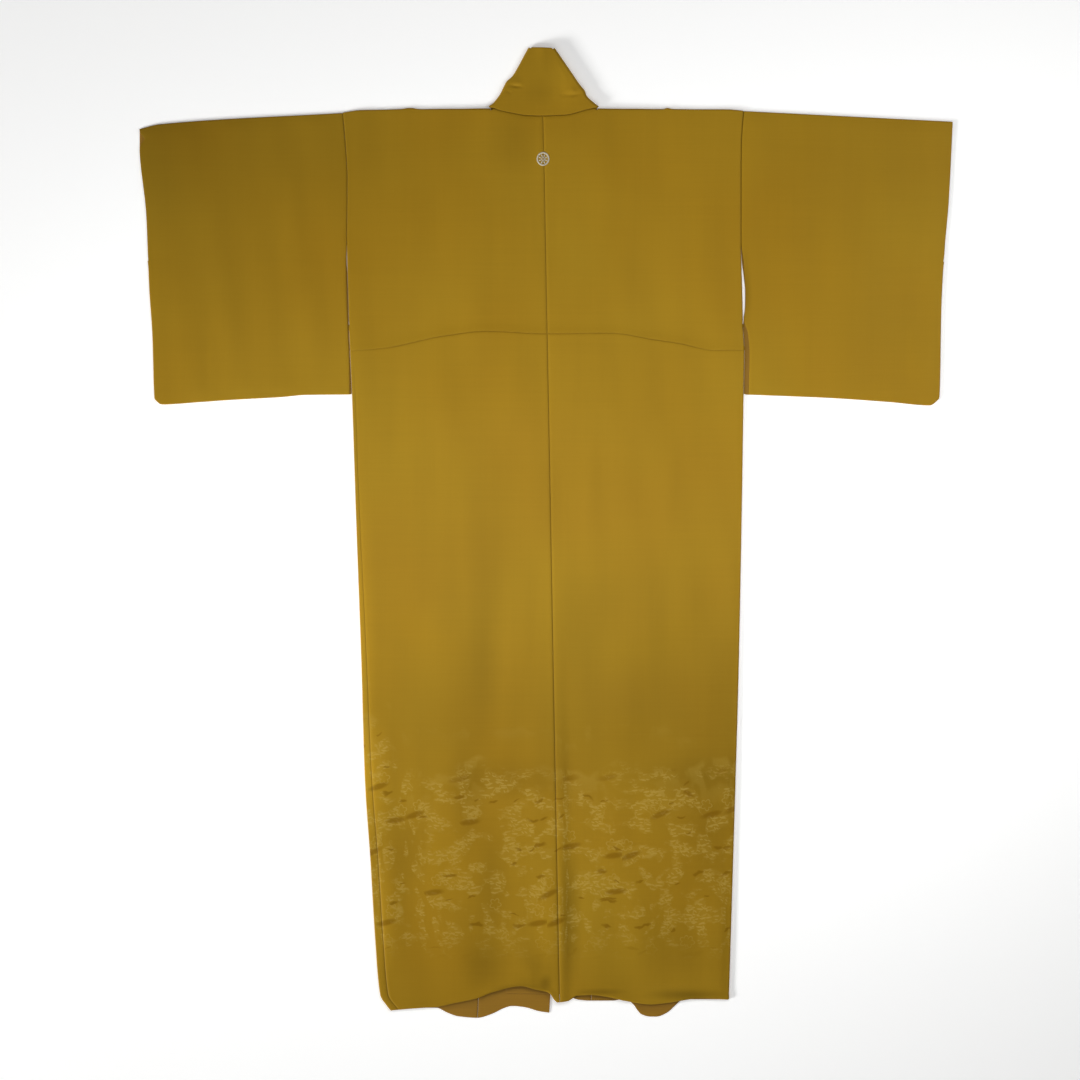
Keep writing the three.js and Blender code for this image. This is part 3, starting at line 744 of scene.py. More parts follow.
def body_panel(hand):
    """One half of the back, rolled over the shoulder and the side into its front."""
    left = hand == "left"
    inward = 1 if left else -1
    bm = new_cloth()

    def under_back(x, y):
        return over_fronts(x, y) - (0 if left else over_left(x, y))

    def side(y):
        edge = follow(SECTIONS, "y", hand, y)
        return edge + inward * turn_room(under_back(edge, y)) * closed_below(OPENING_FOOT, y)

    def centre(y):
        return follow(SECTIONS, "y", "centre", y) - inward * SEAM_GAP / 2

    def groove(y):
        strip = follow(SIDE_SEAM, "y", "in", y) + follow(SECTIONS, "y", hand, y) * inward - side(y) * inward
        return side(y) + inward * np.maximum(STRIP_LEAST, strip)

    neck = (NECK_LEFT - NECK_GAP) if left else (NECK_RIGHT + NECK_GAP)
    outermost = side(SHOULDER_LEVEL)
    neck_share = (neck - outermost) / (centre(SHOULDER_LEVEL) - outermost)

    def neck_line(y):
        return mix(side(y), centre(y), neck_share)

    curves = [side, groove, neck_line, centre, centre]
    stretch, share, offset = split(BODY_COLUMNS)
    part, height, shift = split(BODY_ROWS)
    below_tuck, above_tuck = mix(HEM_SIDE, TUCK_LEVEL, height), mix(TUCK_LEVEL, SHOULDER_LEVEL, height)
    levels = np.where(part == 0, below_tuck, above_tuck)
    open_row = int(np.argmax(levels + shift >= OPENING_FOOT + 6))

    def across(i, y):
        x = np.zeros(len(i))
        for k in range(4):
            here = stretch[i] == k
            x[here] = mix(curves[k](y[here]), curves[k + 1](y[here]), share[i[here]])
        return x + inward * offset[i]

    def grooved(x, y):
        return bell(x - groove(y), GROOVE_WIDTH) * (1 - smooth(*GROOVE_ENDS, y))

    def shoulder_top(i, x):
        top = follow(SHOULDER, "x", "y", x)
        drop = turn_room(under_back(x, top))
        return top - np.where(i <= NECK_COLUMN, drop, 0)

    def along(i, j, x, hem):
        tuck = follow(TUCK, "x", "y", x)
        below = mix(follow(hem, "x", "y", x), tuck, height[j])
        above = mix(tuck, shoulder_top(i, x), height[j])
        return np.where(part[j] == 0, below, above) + shift[j]

    def back_place(i, j):
        y = levels[j]
        for _ in range(PASSES):
            x = across(i, y)
            y = along(i, j, x, BACK_HEM)
        past_neck = np.maximum(0, (x - neck) * inward)
        from_top = np.maximum(0, follow(SHOULDER, "x", "y", x) - y) + 1.5 * past_neck
        from_side = np.abs(x - side(y))
        raised = np.maximum(spring(from_top), spring(from_side) * closed_below(OPENING_FOOT, y))
        above_hem = y - follow(BACK_HEM, "x", "y", x)
        lip, tucked = tuck_edge(x, y)
        inside = 1 - bell(from_side, FLAT_REACH) * closed_below(OPENING_FOOT, y)
        loose = loose_height(x, y) + seam_ridge(x, y)
        z = CLOTH / 2 + over_fronts(x, y) + raised + fold_height(x, y, FOLDS) + loose * inside
        z = z + lip + hem_lift(x, above_hem) * inside + hem_roll(above_hem)
        from_centre = np.abs(x - centre(y))
        from_neck = np.where(i > NECK_COLUMN, follow(SHOULDER, "x", "y", x) - y, FAR)
        from_armhole = np.where(y > OPENING_FOOT + 4, from_side, FAR)
        sewn = np.minimum(np.minimum(from_centre, from_neck), from_armhole)
        wall = edge_wall(np.minimum(sewn, above_hem))
        z = z - EDGE_DIP * bell(sewn, DIP_REACH)
        softer = 1 - TUCK_SOFTNESS * smooth(*TUCK_SOFTENS, y) * (from_centre < 3)
        mark = np.maximum(softer * bell(sewn, SEAM_SHADE), tucked)
        if left:
            pressed = grooved(x, y) * follow(SIDE_SEAM, "y", "depth", y)
            z = z - 0.6 * pressed
            wall = wall * (1 - 0.45 * pressed)
            mark = np.maximum(mark, pressed)
        return x, y, z, wall, mark

    columns, rows = len(BODY_COLUMNS) - 1, len(BODY_ROWS) - 1
    back = net(bm, BODY_COLUMNS, BODY_ROWS, back_place)
    top_x = np.array([back[i][rows].co.x / MM for i in range(columns + 1)])
    top_y = np.array([back[i][rows].co.y / MM for i in range(columns + 1)])

    hem = FRONT_HEM_LEFT if left else FRONT_HEM_RIGHT

    def inner(y):
        strays = FOLD_RIGHT["seamX"] - mirrored(FOLD_LEFT["seamX"])
        seam = seam_left(y) if left else mirrored(seam_left(y)) + strays * smooth(630, 680, y)
        return np.where(y > KENSAKI, seam, follow(FRONT_EDGES, "y", hand + "Seam", y)) - inward * SEAM_GAP

    def front_place(i, j):
        y = levels[j]
        for _ in range(PASSES):
            whole = (across(i, y) - side(y)) / (neck_line(y) - side(y))
            x = mix(side(y), inner(y), whole)
            y = along(i, j, x, hem)
        top = j == rows
        x = np.where(top, top_x[i], x)
        y = np.where(top, top_y[i], y)
        z = CLOTH / 2 + (0 if left else over_left(x, y))
        sewn = np.abs(x - inner(y))
        above_hem = y - follow(hem, "x", "y", x)
        wall = edge_wall(np.minimum(sewn, above_hem))
        mark = np.maximum(bell(sewn, SEAM_SHADE), under_hem(x, y))
        if not left:
            pressed = grooved(x, y)
            wall = wall * (1 - 0.4 * pressed)
            mark = np.maximum(mark, 0.8 * pressed)
        return x, y, z, wall, mark

    front = net(bm, BODY_COLUMNS[: NECK_COLUMN + 1], BODY_ROWS, front_place)
    shoulder = range(NECK_COLUMN + 1)
    roll(bm, [back[i][rows] for i in shoulder], [front[i][rows] for i in shoulder], inward)
    closed = range(open_row + 1)
    roll(bm, [back[0][j] for j in closed], [front[0][j] for j in closed], inward)
    name = f"body_{hand}"
    make_piece(name + "_cloth", name, bm, 1, CLOTH, "laid")


# ---- Overlap panels ----
POINT_NARROW = 60  # width below which the lines beside the seams draw together
POINT_TURNED = 22  # how far the point is turned in where the two seams meet
OVERLAP_COLUMNS = [
    *((0, 0, off) for off in reversed(HUG)),
    *spread(0, 120, low=0.03, high=0.97),
    *((1, 0, -off) for off in HUG),
]
OVERLAP_ROWS = [
    *((0, 0, off) for off in (0, 0.5, 1.3, 2.6, 4.2)),
    *spread(0, 1230, low=0.006),
    (1, 0, 0),
]


def overlap_panel(hand):
    """A tapering strip from the front's seam to the garment's front edge."""
    left = hand == "left"
    inwards = 1 if left else -1
    bm = new_cloth()
    hem = FRONT_HEM_LEFT if left else FRONT_HEM_RIGHT
    top = KENSAKI - POINT_TURNED
    stretch, share, offset = split(OVERLAP_COLUMNS)
    part, height, shift = split(OVERLAP_ROWS)

    def seam(y):
        return follow(FRONT_EDGES, "y", hand + "Seam", y)

    def edge(y):
        band = (seam_left(y) if left else mirrored(seam_left(y))) - inwards * SEAM_GAP
        return np.where(y < COLLAR_END, follow(FRONT_EDGES, "y", hand + "Edge", y), band)

    def place(i, j):
        y = mix(HEM_SIDE, top, height[j] + part[j])
        for _ in range(PASSES):
            narrow = np.clip(np.abs(edge(y) - seam(y)) / POINT_NARROW, 0.02, 1)
            x = mix(seam(y), edge(y), share[i] + stretch[i]) + inwards * offset[i] * narrow
            y = mix(follow(hem, "x", "y", x), top, height[j] + part[j]) + shift[j]
        z = CLOTH / 2 + (0 if left else over_left(x, y))
        sewn = np.minimum(np.abs(x - seam(y)), np.where(y > COLLAR_END, np.abs(x - edge(y)), FAR))
        wall = edge_wall(np.minimum(sewn, y - follow(hem, "x", "y", x)))
        return x, y, z, wall, np.maximum(bell(sewn, SEAM_SHADE), under_hem(x, y))

    net(bm, OVERLAP_COLUMNS, OVERLAP_ROWS, place)
    name, flat = f"overlap_{hand}", (0.14, 1.24)
    make_piece(name + "_cloth", name, bm, -1, CLOTH, "laid")


# ---- Collar: one band, and an over-collar on its outer face ----
ARM_ROWS = 120
STAND_ROWS = 70
TURN_ROWS = 5
BAND_ACROSS = [0, 0.005, 0.012, 0.022, *np.linspace(0.04, 0.96, 58), 0.978, 0.988, 0.995, 1]
NECK_PINCHES = table(
    "x y length turn width height",
    (-52, 737, 34, 84, 2.4, -1.7),
    (-54, 743, 40, 80, 6.5, 0.7),
    (-66, 728, 20, 68, 2.2, -1.3),
    (54, 723, 36, -76, 2.4, -1.8),
    (50, 730, 46, -74, 6.5, 0.9),
    (36, 722, 34, -84, 3.4, -1),
    (-5, 740, 90, 4, 22, 0.3),
    (30, 765, 70, 30, 9, 0.3),
    (-34, 770, 60, -28, 8, 0.3),
)


def neck_station(s):
    """Where the standing part's rows meet the backs along the neck seam."""
    centre = follow(SECTIONS, "y", "centre", SHOULDER_LEVEL)
    return mix(NECK_LEFT, centre, 2 * s) if s <= 0.5 else mix(centre, NECK_RIGHT, 2 * s - 1)


def band_points():
    """Rows of the band's middle from the left front's end over the neck to the right front's end. Each
    is its points, and the directions of its outer face."""
    across = np.array(BAND_ACROSS)
    arm = COLLAR_ARM
    last = len(arm["seamX"]) - 1

    def arm_line(s, right):
        at = s * last
        ends = {name: float(np.interp(at, np.arange(last + 1), arm[name])) for name in arm}
        if right:
            near = float(smooth(RIGHT_TURN, 1, s))
            for edge in ("seamX", "freeX"):
                ends[edge] = mirrored(ends[edge]) + near * (FOLD_RIGHT[edge] - mirrored(FOLD_LEFT[edge]))
            ends["freeY"] += near * (FOLD_RIGHT["freeY"] - FOLD_LEFT["freeY"])
        x = mix(ends["seamX"], ends["freeX"], across)
        y = mix(ends["seamY"], ends["freeY"], across)
        return x, y, arm_height(x, y, right)

    def arm_height(x, y, right):
        raised = ONE_LAYER - OVER_EXTRA * (1 - smooth(OVER_END - 60, OVER_END - 8, y))
        return BAND / 2 + raised + (over_left(x, y) if right else 0)

    def stand_line(s):
        low_x = mix(FOLD_LEFT["seamX"], FOLD_LEFT["freeX"], across)
        high_x = mix(FOLD_RIGHT["seamX"], FOLD_RIGHT["freeX"], across)
        inside = min(1, min(s, 1 - s) / 0.06)
        seam_x = neck_station(s)
        seam_y = mix(FOLD_LEFT["seamY"], follow(SHOULDER, "x", "y", seam_x) + SEAM_GAP, inside)
        free_y = mix(mix(FOLD_LEFT["freeY"], FOLD_RIGHT["freeY"], s), COLLAR_TOP - 2 * s, inside)
        x = mix(seam_x, mix(FOLD_LEFT["freeX"], FOLD_RIGHT["freeX"], s), across)
        y = mix(seam_y, free_y, across)
        low = arm_height(low_x, y, False) + 2 * STAND_TURN
        high = arm_height(high_x, y, True) + 2 * STAND_TURN
        z = mix(low, high, float(smooth(0, 0.62, s))) + STAND_RISE
        inner = bell(across - 0.5, 0.42) * min(1, min(s, 1 - s) / 0.12)
        return x, y, z + inner * (fold_height(x, y, NECK_PINCHES) + 0.5 * drape(x, y))

    def level(line, up):
        x, y, z = line
        points = np.stack([x, y, z], 1)
        return points, np.tile([0.0, 0.0, up], (len(x), 1))

    def turn_lines(fold, low, high, sideways):
        way = np.array([fold["freeX"] - fold["seamX"], fold["freeY"] - fold["seamY"]])
        way = way / np.linalg.norm(way)
        away = np.array([-way[1], way[0], 0]) * sideways
        lines = []
        for angle in np.linspace(-90, 90, TURN_ROWS + 2)[1:-1]:
            rise, out = math.sin(math.radians(angle)), math.cos(math.radians(angle))
            radius = (high[:, 2:3] - low[:, 2:3]) / 2
            points = mix(low, high, (1 + rise) / 2) + away * radius * out
            lines.append((points, np.tile(away * out + [0, 0, rise], (len(points), 1))))
        return lines

    shares = np.linspace(0, 1, ARM_ROWS + 1)
    left = [level(arm_line(s, False), -1.0) for s in shares]
    right = [level(arm_line(s, True), -1.0) for s in shares[::-1]]
    stand = [level(stand_line(s), 1.0) for s in np.linspace(0, 1, STAND_ROWS + 1)]
    up_left = turn_lines(FOLD_LEFT, left[-1][0], stand[0][0], 1)
    down_right = turn_lines(FOLD_RIGHT, right[0][0], stand[-1][0], -1)[::-1]
    return [*left, *up_left, *stand, *down_right, *right]


def stray(points):
    """Moves points near the slanted folds the way the folds stray from their straight lines."""
    moved = points.copy()
    for fold, waves in ((FOLD_LEFT, WAVE_LEFT), (FOLD_RIGHT, WAVE_RIGHT)):
        rise = (points[:, 1] - fold["seamY"]) / (fold["freeY"] - fold["seamY"])
        line = mix(fold["seamX"], fold["freeX"], rise)
        near = bell(points[:, 0] - line, WAVE_REACH) * smooth(*WAVE_FOOT, points[:, 1])
        moved[:, 0] += follow(waves, "y", "by", points[:, 1]) * near
    return moved


def collar(node, thickness, offset, lines):
    """A band on the lines of the collar, moved out from them by an offset."""
    bm = new_cloth()
    points = np.stack([stray(at) + facing * offset for at, facing in lines])
    shares = np.array(BAND_ACROSS)

    def place(i, j):
        x, y, z = points[j, i].T
        from_seam = shares[i] * BAND_WIDTH
        wall = edge_wall(np.minimum(from_seam, (1 - shares[i]) * BAND_WIDTH))
        return x, y, z, wall, bell(from_seam, SEAM_SHADE)

    net(bm, BAND_ACROSS, lines, place)
    make_piece(node + "_cloth", node, bm, -1, thickness, "folded")


def collars():
    lines = band_points()
    over = [line for line in lines if line[0][0][1] > OVER_END]
    away = BAND / 2 + LAYER_GAP + CLOTH / 2
    collar("collar", BAND, 0, lines)
    collar("over_collar", CLOTH, away, over)


# ---- Sleeves: a flat bag, folded at the top, open at the wrist and along the body side ----
SLEEVE_COLUMNS = [
    *((0, 0, off) for off in reversed(HUG)),
    *spread(0, 325, low=0.012, high=0.945),
    *((1, 0, -off) for off in (14, 10.5, 7.5, 5, 3, 1.4, 0.5, 0)),
]
SLEEVE_ROWS = [
    *((0, 0, off) for off in (0, 1.2, 3)),
    *spread(0, 460, low=0.01, high=0.99),
    *((1, 0, -off) for off in (3, 1.2, 0)),
]
CORNER_TUCK = {"in": 9, "y": 650, "reach": 7}  # the left cuff's upper layer is pulled in near its top
GAP_SHADE = {"depth": 0.75, "in": 6, "y": 396, "reach": 52}  # the right one's edge, where it gapes


def sleeve(hand):
    """Two layers, rolled into each other at the top, the foot and below the wrist opening."""
    left = hand == "left"
    outward = -1 if left else 1
    bm = new_cloth()
    shape = SLEEVES[hand]
    stretch, share, offset = split(SLEEVE_COLUMNS)
    part, height, shift = split(SLEEVE_ROWS)
    low, high = shape["span"]
    wrist_row = int(np.argmax(mix(low, high, height + part) >= WRIST_FOOT))

    def inner(y, under):
        apart = follow(LOOSE_EDGE, "y", hand + ("Under" if under else ""), y)
        return follow(SECTIONS, "y", hand, y) + outward * apart

    def place(under):
        def at(i, j):
            y = mix(low, high, height[j] + part[j])
            for _ in range(PASSES):
                cuff = follow(shape["outer"], "y", "x", y)
                pull = CORNER_TUCK["in"] if left and not under else 0
                pulled = pull * bell(y - CORNER_TUCK["y"], CORNER_TUCK["reach"])
                cuff = cuff - outward * (TURN_DEPTH * closed_below(WRIST_FOOT, y) + pulled)
                x = mix(inner(y, under), cuff, share[i] + stretch[i]) + outward * offset[i]
                foot = follow(shape["bottom"], "x", "y", x) + TURN_DEPTH
                top = follow(shape["top"], "x", "y", x) - TURN_DEPTH
                y = mix(foot, top, height[j] + part[j]) + shift[j]
            from_fold = np.minimum(top - y, y - foot)
            from_cuff = np.abs(cuff - x)
            raised = np.maximum(
                spring(np.maximum(0, from_fold)), spring(from_cuff) * closed_below(WRIST_FOOT, y)
            )
            flat = bell(np.minimum(from_fold, from_cuff), FLAT_REACH)
            loose = (1 - flat) * loose_height(x, y)
            upper = ONE_LAYER + raised + fold_height(x, y, FOLDS) + loose
            from_body = np.abs(x - inner(y, under))
            open_cuff = np.where(y > WRIST_FOOT + 20, from_cuff, FAR)
            wall = edge_wall(np.minimum(from_body, open_cuff))
            sewn = np.where(y > ARMHOLE_FOOT - 8, from_body, FAR)
            # Painted shade on the right sleeve's upper layer, where its edge gapes from the body.
            depth = 0 if left or under else GAP_SHADE["depth"]
            gap = depth * bell(from_body, GAP_SHADE["in"]) * bell(y - GAP_SHADE["y"], GAP_SHADE["reach"])
            z = CLOTH / 2 + (0 if under else upper - EDGE_DIP / 2 * bell(from_body, DIP_REACH))
            return x, y, z, wall, np.maximum(bell(sewn, SEAM_SHADE), gap)

        return at

    columns, rows = len(SLEEVE_COLUMNS) - 1, len(SLEEVE_ROWS) - 1
    above = net(bm, SLEEVE_COLUMNS, SLEEVE_ROWS, place(False))
    below = net(bm, SLEEVE_COLUMNS, SLEEVE_ROWS, place(True))
    top = range(columns + 1)
    roll(bm, [above[i][rows] for i in top], [below[i][rows] for i in top], outward)
    edge = [(i, 0) for i in top] + [(columns, j) for j in range(1, wrist_row + 1)]
    roll(bm, [above[i][j] for i, j in edge], [below[i][j] for i, j in edge], -outward)
    name, flat = f"sleeve_{hand}", (0.335, 0.93)
    make_piece(name + "_cloth", name, bm, 1, CLOTH, "laid")


# ---- A small embroidered roundel on the centre seam: two rings and eight rays of stitches ----
ROUNDEL = {"x": -4.8, "y": 616.6}
RINGS = ((9.6, 1.35), (2.2, 0.7))  # radius and half width
RING_HEIGHT = 0.45  # as a share of the half width
RAYS = 8
RAY_SIZE = (2.5, 1.1, 0.4)  # half lengths
RAY_PLACE = 5.6  # of a ray's middle, from the roundel's
ROUNDEL_STRETCH = (0.97, 1.05)  # the cloth's give makes it a little taller than wide
ROUNDEL_RISE = 0.3


def back_surface(x, y):
    """Height of the backs' upper face, away from seams and edges."""
    loose = loose_height(x, y) + fold_height(x, y, FOLDS)
    return CLOTH + over_fronts(x, y) + loose - EDGE_DIP


def roundel():
    """Two rings and a ray between them in each eighth, stitched over the centre seam."""
    bm = bmesh.new()
    for radius, width in RINGS:
        section = bmesh.ops.create_circle(bm, segments=8, radius=width)["verts"]
        bmesh.ops.scale(bm, vec=(1, RING_HEIGHT, 1), verts=section)
        bmesh.ops.translate(bm, vec=(radius, 0, 0), verts=section)
        bmesh.ops.rotate(bm, verts=section, matrix=Matrix.Rotation(math.pi / 2, 3, "X"))
        edges = list({e for v in section for e in v.link_edges})
        bmesh.ops.spin(
            bm, geom=section + edges, axis=(0, 0, 1), angle=2 * math.pi, steps=64, use_merge=True
        )
    for k in range(RAYS):
        ray = bmesh.ops.create_uvsphere(bm, u_segments=10, v_segments=6, radius=1)["verts"]
        bmesh.ops.scale(bm, vec=RAY_SIZE, verts=ray)
        bmesh.ops.translate(bm, vec=(RAY_PLACE, 0, 0), verts=ray)
        turn = Matrix.Rotation(2 * math.pi * (k + 0.5) / RAYS, 3, "Z")
        bmesh.ops.rotate(bm, verts=ray, matrix=turn)
    bmesh.ops.remove_doubles(bm, verts=bm.verts, dist=0.01)
    bmesh.ops.recalc_face_normals(bm, faces=bm.faces)
    for vert in bm.verts:
        x = vert.co.x * ROUNDEL_STRETCH[0] + ROUNDEL["x"]
        y = vert.co.y * ROUNDEL_STRETCH[1] + ROUNDEL["y"]
        z = float(back_surface(np.array(x), np.array(y))) + ROUNDEL_RISE + vert.co.z
        vert.co = (x * MM, y * MM, z * MM)
    for face in bm.faces:
        face.smooth = True
    piece = new_object("roundel_stitches", bm)
    piece.data.materials.append(embroidery_floss())
    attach(piece, "root")


# ---- Materials: lengths are in millimetres, apart from the Distance of a bump, which is in metres ----
def linear(code):
    """A linear colour from an sRGB hex value."""
    parts = [int(code[k : k + 2], 16) / 255 for k in (1, 3, 5)]
    return tuple(c / 12.92 if c <= 0.04045 else ((c + 0.055) / 1.055) ** 2.4 for c in parts) + (1,)


def add(tree, kind, inputs=None, **settings):
    """A node with its settings. An input is given a value, or linked to a socket or to the first output of
    a node."""
    node = tree.nodes.new("ShaderNode" + kind)
    for name, value in settings.items():
        setattr(node, name, value)
    for name, value in (inputs or {}).items():
        source = value.outputs[0] if isinstance(value, bpy.types.Node) else value
        if isinstance(source, bpy.types.NodeSocket):
            tree.links.new(source, node.inputs[name])
        else:
            node.inputs[name].default_value = source
    return node


def new_tree(name):
    material = bpy.data.materials.new(name)
    material.use_nodes = True
    material.node_tree.nodes.clear()
    return material, material.node_tree


def in_millimetres(tree):
    place = add(tree, "TexCoord").outputs["Object"]
    return add(tree, "Mapping", {"Vector": place, "Scale": (1000, 1000, 1000)})


def unevenness(tree, place, length, width, detail, amount):
    """A factor around 1 that wanders by an amount, in flecks of a length across (x) and a width along (y)."""
    stretched = add(tree, "Mapping", {"Vector": place, "Scale": (1 / length, 1 / width, 1 / 40)})
    noise = add(tree, "TexNoise", {"Vector": stretched, "Scale": 1.0, "Detail": detail, "Roughness": 0.55})
    limits = {"From Min": 0.3, "From Max": 0.7, "To Min": 1 - amount, "To Max": 1 + amount}
    return add(tree, "MapRange", {"Value": noise, **limits})


def scattered(tree, place, cell):
    """Points strewn over the cloth, one in each cell of a loose grid. Gives how far a place is from the
    point of its cell, and three draws for each cell."""
    cells = add(tree, "TexVoronoi", {"Vector": place, "Scale": 1 / cell}, voronoi_dimensions="2D")
    off = add(tree, "VectorMath", {0: place, 1: cells.outputs["Position"]}, operation="SUBTRACT")
    return off, add(tree, "SeparateColor", {0: cells.outputs["Color"]}).outputs


def leaves(tree, place, cell, size, turn, chance, soft=0.4):
    """Lens-shaped marks of a half length and half width, turned clockwise between two angles, in a share
    of the cells: 1 inside a mark."""
    off, draws = scattered(tree, place, cell)
    angle = add(tree, "MapRange", {"Value": draws[0], "To Min": turn[0], "To Max": turn[1]})
    turned = add(tree, "VectorRotate", {"Vector": off, "Angle": angle}, rotation_type="Z_AXIS")
    scale = (1 / size[0], 1 / size[1], 0)
    scaled = add(tree, "VectorMath", {0: turned, 1: scale}, operation="MULTIPLY")
    away = add(tree, "VectorMath", {0: scaled}, operation="LENGTH").outputs["Value"]
    limits = {"From Min": 1 + soft / 2, "From Max": 1 - soft / 2}
    inside = add(tree, "MapRange", {"Value": away, **limits}, interpolation_type="SMOOTHSTEP")
    held = add(tree, "Math", {0: draws[1], 1: chance}, operation="LESS_THAN")
    return add(tree, "Math", {0: inside, 1: held}, operation="MULTIPLY")


def blossoms(tree, place, cell, radius, chance):
    """Outlines of five-petalled flowers in a share of the cells: 1 on the line."""
    off, draws = scattered(tree, place, cell)
    flat = add(tree, "VectorMath", {0: off, 1: (1, 1, 0)}, operation="MULTIPLY")
    parts = add(tree, "SeparateXYZ", {0: flat}).outputs
    around = add(tree, "Math", {0: parts[1], 1: parts[0]}, operation="ARCTAN2")
    turn = add(tree, "Math", {0: draws[0], 1: 2 * math.pi}, operation="MULTIPLY")
    petals = add(tree, "Math", {0: around, 1: 2.5, 2: turn}, operation="MULTIPLY_ADD")
    wave = add(tree, "Math", {0: petals}, operation="COSINE")
    lobes = add(tree, "Math", {0: wave}, operation="ABSOLUTE")
    reach = add(tree, "Math", {0: lobes, 1: 0.45 * radius, 2: 0.55 * radius}, operation="MULTIPLY_ADD")
    away = add(tree, "VectorMath", {0: flat}, operation="LENGTH").outputs["Value"]
    gap = add(tree, "Math", {0: away, 1: reach}, operation="SUBTRACT")
    distance = add(tree, "Math", {0: gap}, operation="ABSOLUTE")
    line = add(tree, "MapRange", {"Value": distance, "From Min": 1.5, "From Max": 0.4})
    held = add(tree, "Math", {0: draws[1], 1: chance}, operation="LESS_THAN")
    return add(tree, "Math", {0: line, 1: held}, operation="MULTIPLY")


def curls(tree, place, size):
    """Thin curling lines, like the outlines of small petals: 1 on a line."""
    noise = add(tree, "TexNoise", {"Vector": place, "Scale": 1 / size, "Detail": 1.0})
    off = add(tree, "Math", {0: noise, 1: 0.5}, operation="SUBTRACT")
    near = add(tree, "Math", {0: off}, operation="ABSOLUTE")
    return add(tree, "MapRange", {"Value": near, "From Min": 0.035, "From Max": 0.01})


def figured_level(tree, place):
    """Height along the cloth as the figuring feels it: ragged, and raised at the left."""
    parts = add(tree, "SeparateXYZ", {0: place}).outputs
    wander = add(tree, "TexNoise", {"Vector": place, "Scale": 1 / 90, "Detail": 2.0})
    centred = add(tree, "Math", {0: wander, 1: 0.5}, operation="SUBTRACT")
    ragged = add(tree, "Math", {0: centred, 1: 110.0, 2: parts[1]}, operation="MULTIPLY_ADD")
    limits = {"From Min": -235, "From Max": -268, "To Min": 0, "To Max": -75}
    rising = add(tree, "MapRange", {"Value": parts[0], **limits})
    return add(tree, "Math", {0: ragged, 1: rising}, operation="ADD")


def reached(tree, level, top, softness):
    """1 below a level, falling to 0 above it."""
    return add(tree, "MapRange", {"Value": level, "From Min": top, "From Max": top - softness})


def left_over(tree, level, foot, length):
    """0 at the foot of a bank, growing to 1 further up."""
    return add(tree, "MapRange", {"Value": level, "From Min": foot, "From Max": foot + length})


def above_hem(tree, place):
    """The figuring thins out above the hem."""
    parts = add(tree, "SeparateXYZ", {0: place}).outputs
    return add(tree, "MapRange", {"Value": parts[1], "From Min": -705, "From Max": -655})


def woven_strokes(tree, place, wavy):
    """Short blades, strokes and curls. The finest are drawn 2 mm wide, twice their real width, so that they
    show."""
    blades = leaves(tree, place, 9.5, (5.4, 1.35), (-0.4, 0.25), 0.8, soft=0.7)
    strokes = leaves(tree, place, 6.2, (2.9, 0.95), (-0.3, 1.1), 0.5)
    fine = add(tree, "Math", {0: strokes, 1: blades}, operation="MAXIMUM")
    curled = add(tree, "Math", {0: curls(tree, wavy, 17), 1: 0.6}, operation="MULTIPLY")
    return add(tree, "Math", {0: fine, 1: curled}, operation="MAXIMUM")


def groups(tree, place, across, along, detail, low, high):
    """Loose groups of about a size: 1 inside, falling softly to 0 between them."""
    stretched = add(tree, "Mapping", {"Vector": place, "Scale": (1 / across, 1 / along, 1)})
    noise = add(tree, "TexNoise", {"Vector": stretched, "Scale": 1.0, "Detail": detail})
    limits = {"From Min": low, "From Max": high}
    return add(tree, "MapRange", {"Value": noise, **limits}, interpolation_type="SMOOTHSTEP")


def mist_bank(tree, banks, level, top, foot, length):
    """A bank of mist with a clear upper edge, that pales away below."""
    edge = reached(tree, level, top, 9)
    rim = add(tree, "Math", {0: edge, 1: left_over(tree, level, foot, length)}, operation="MULTIPLY")
    return add(tree, "Math", {0: banks, 1: rim}, operation="MULTIPLY")


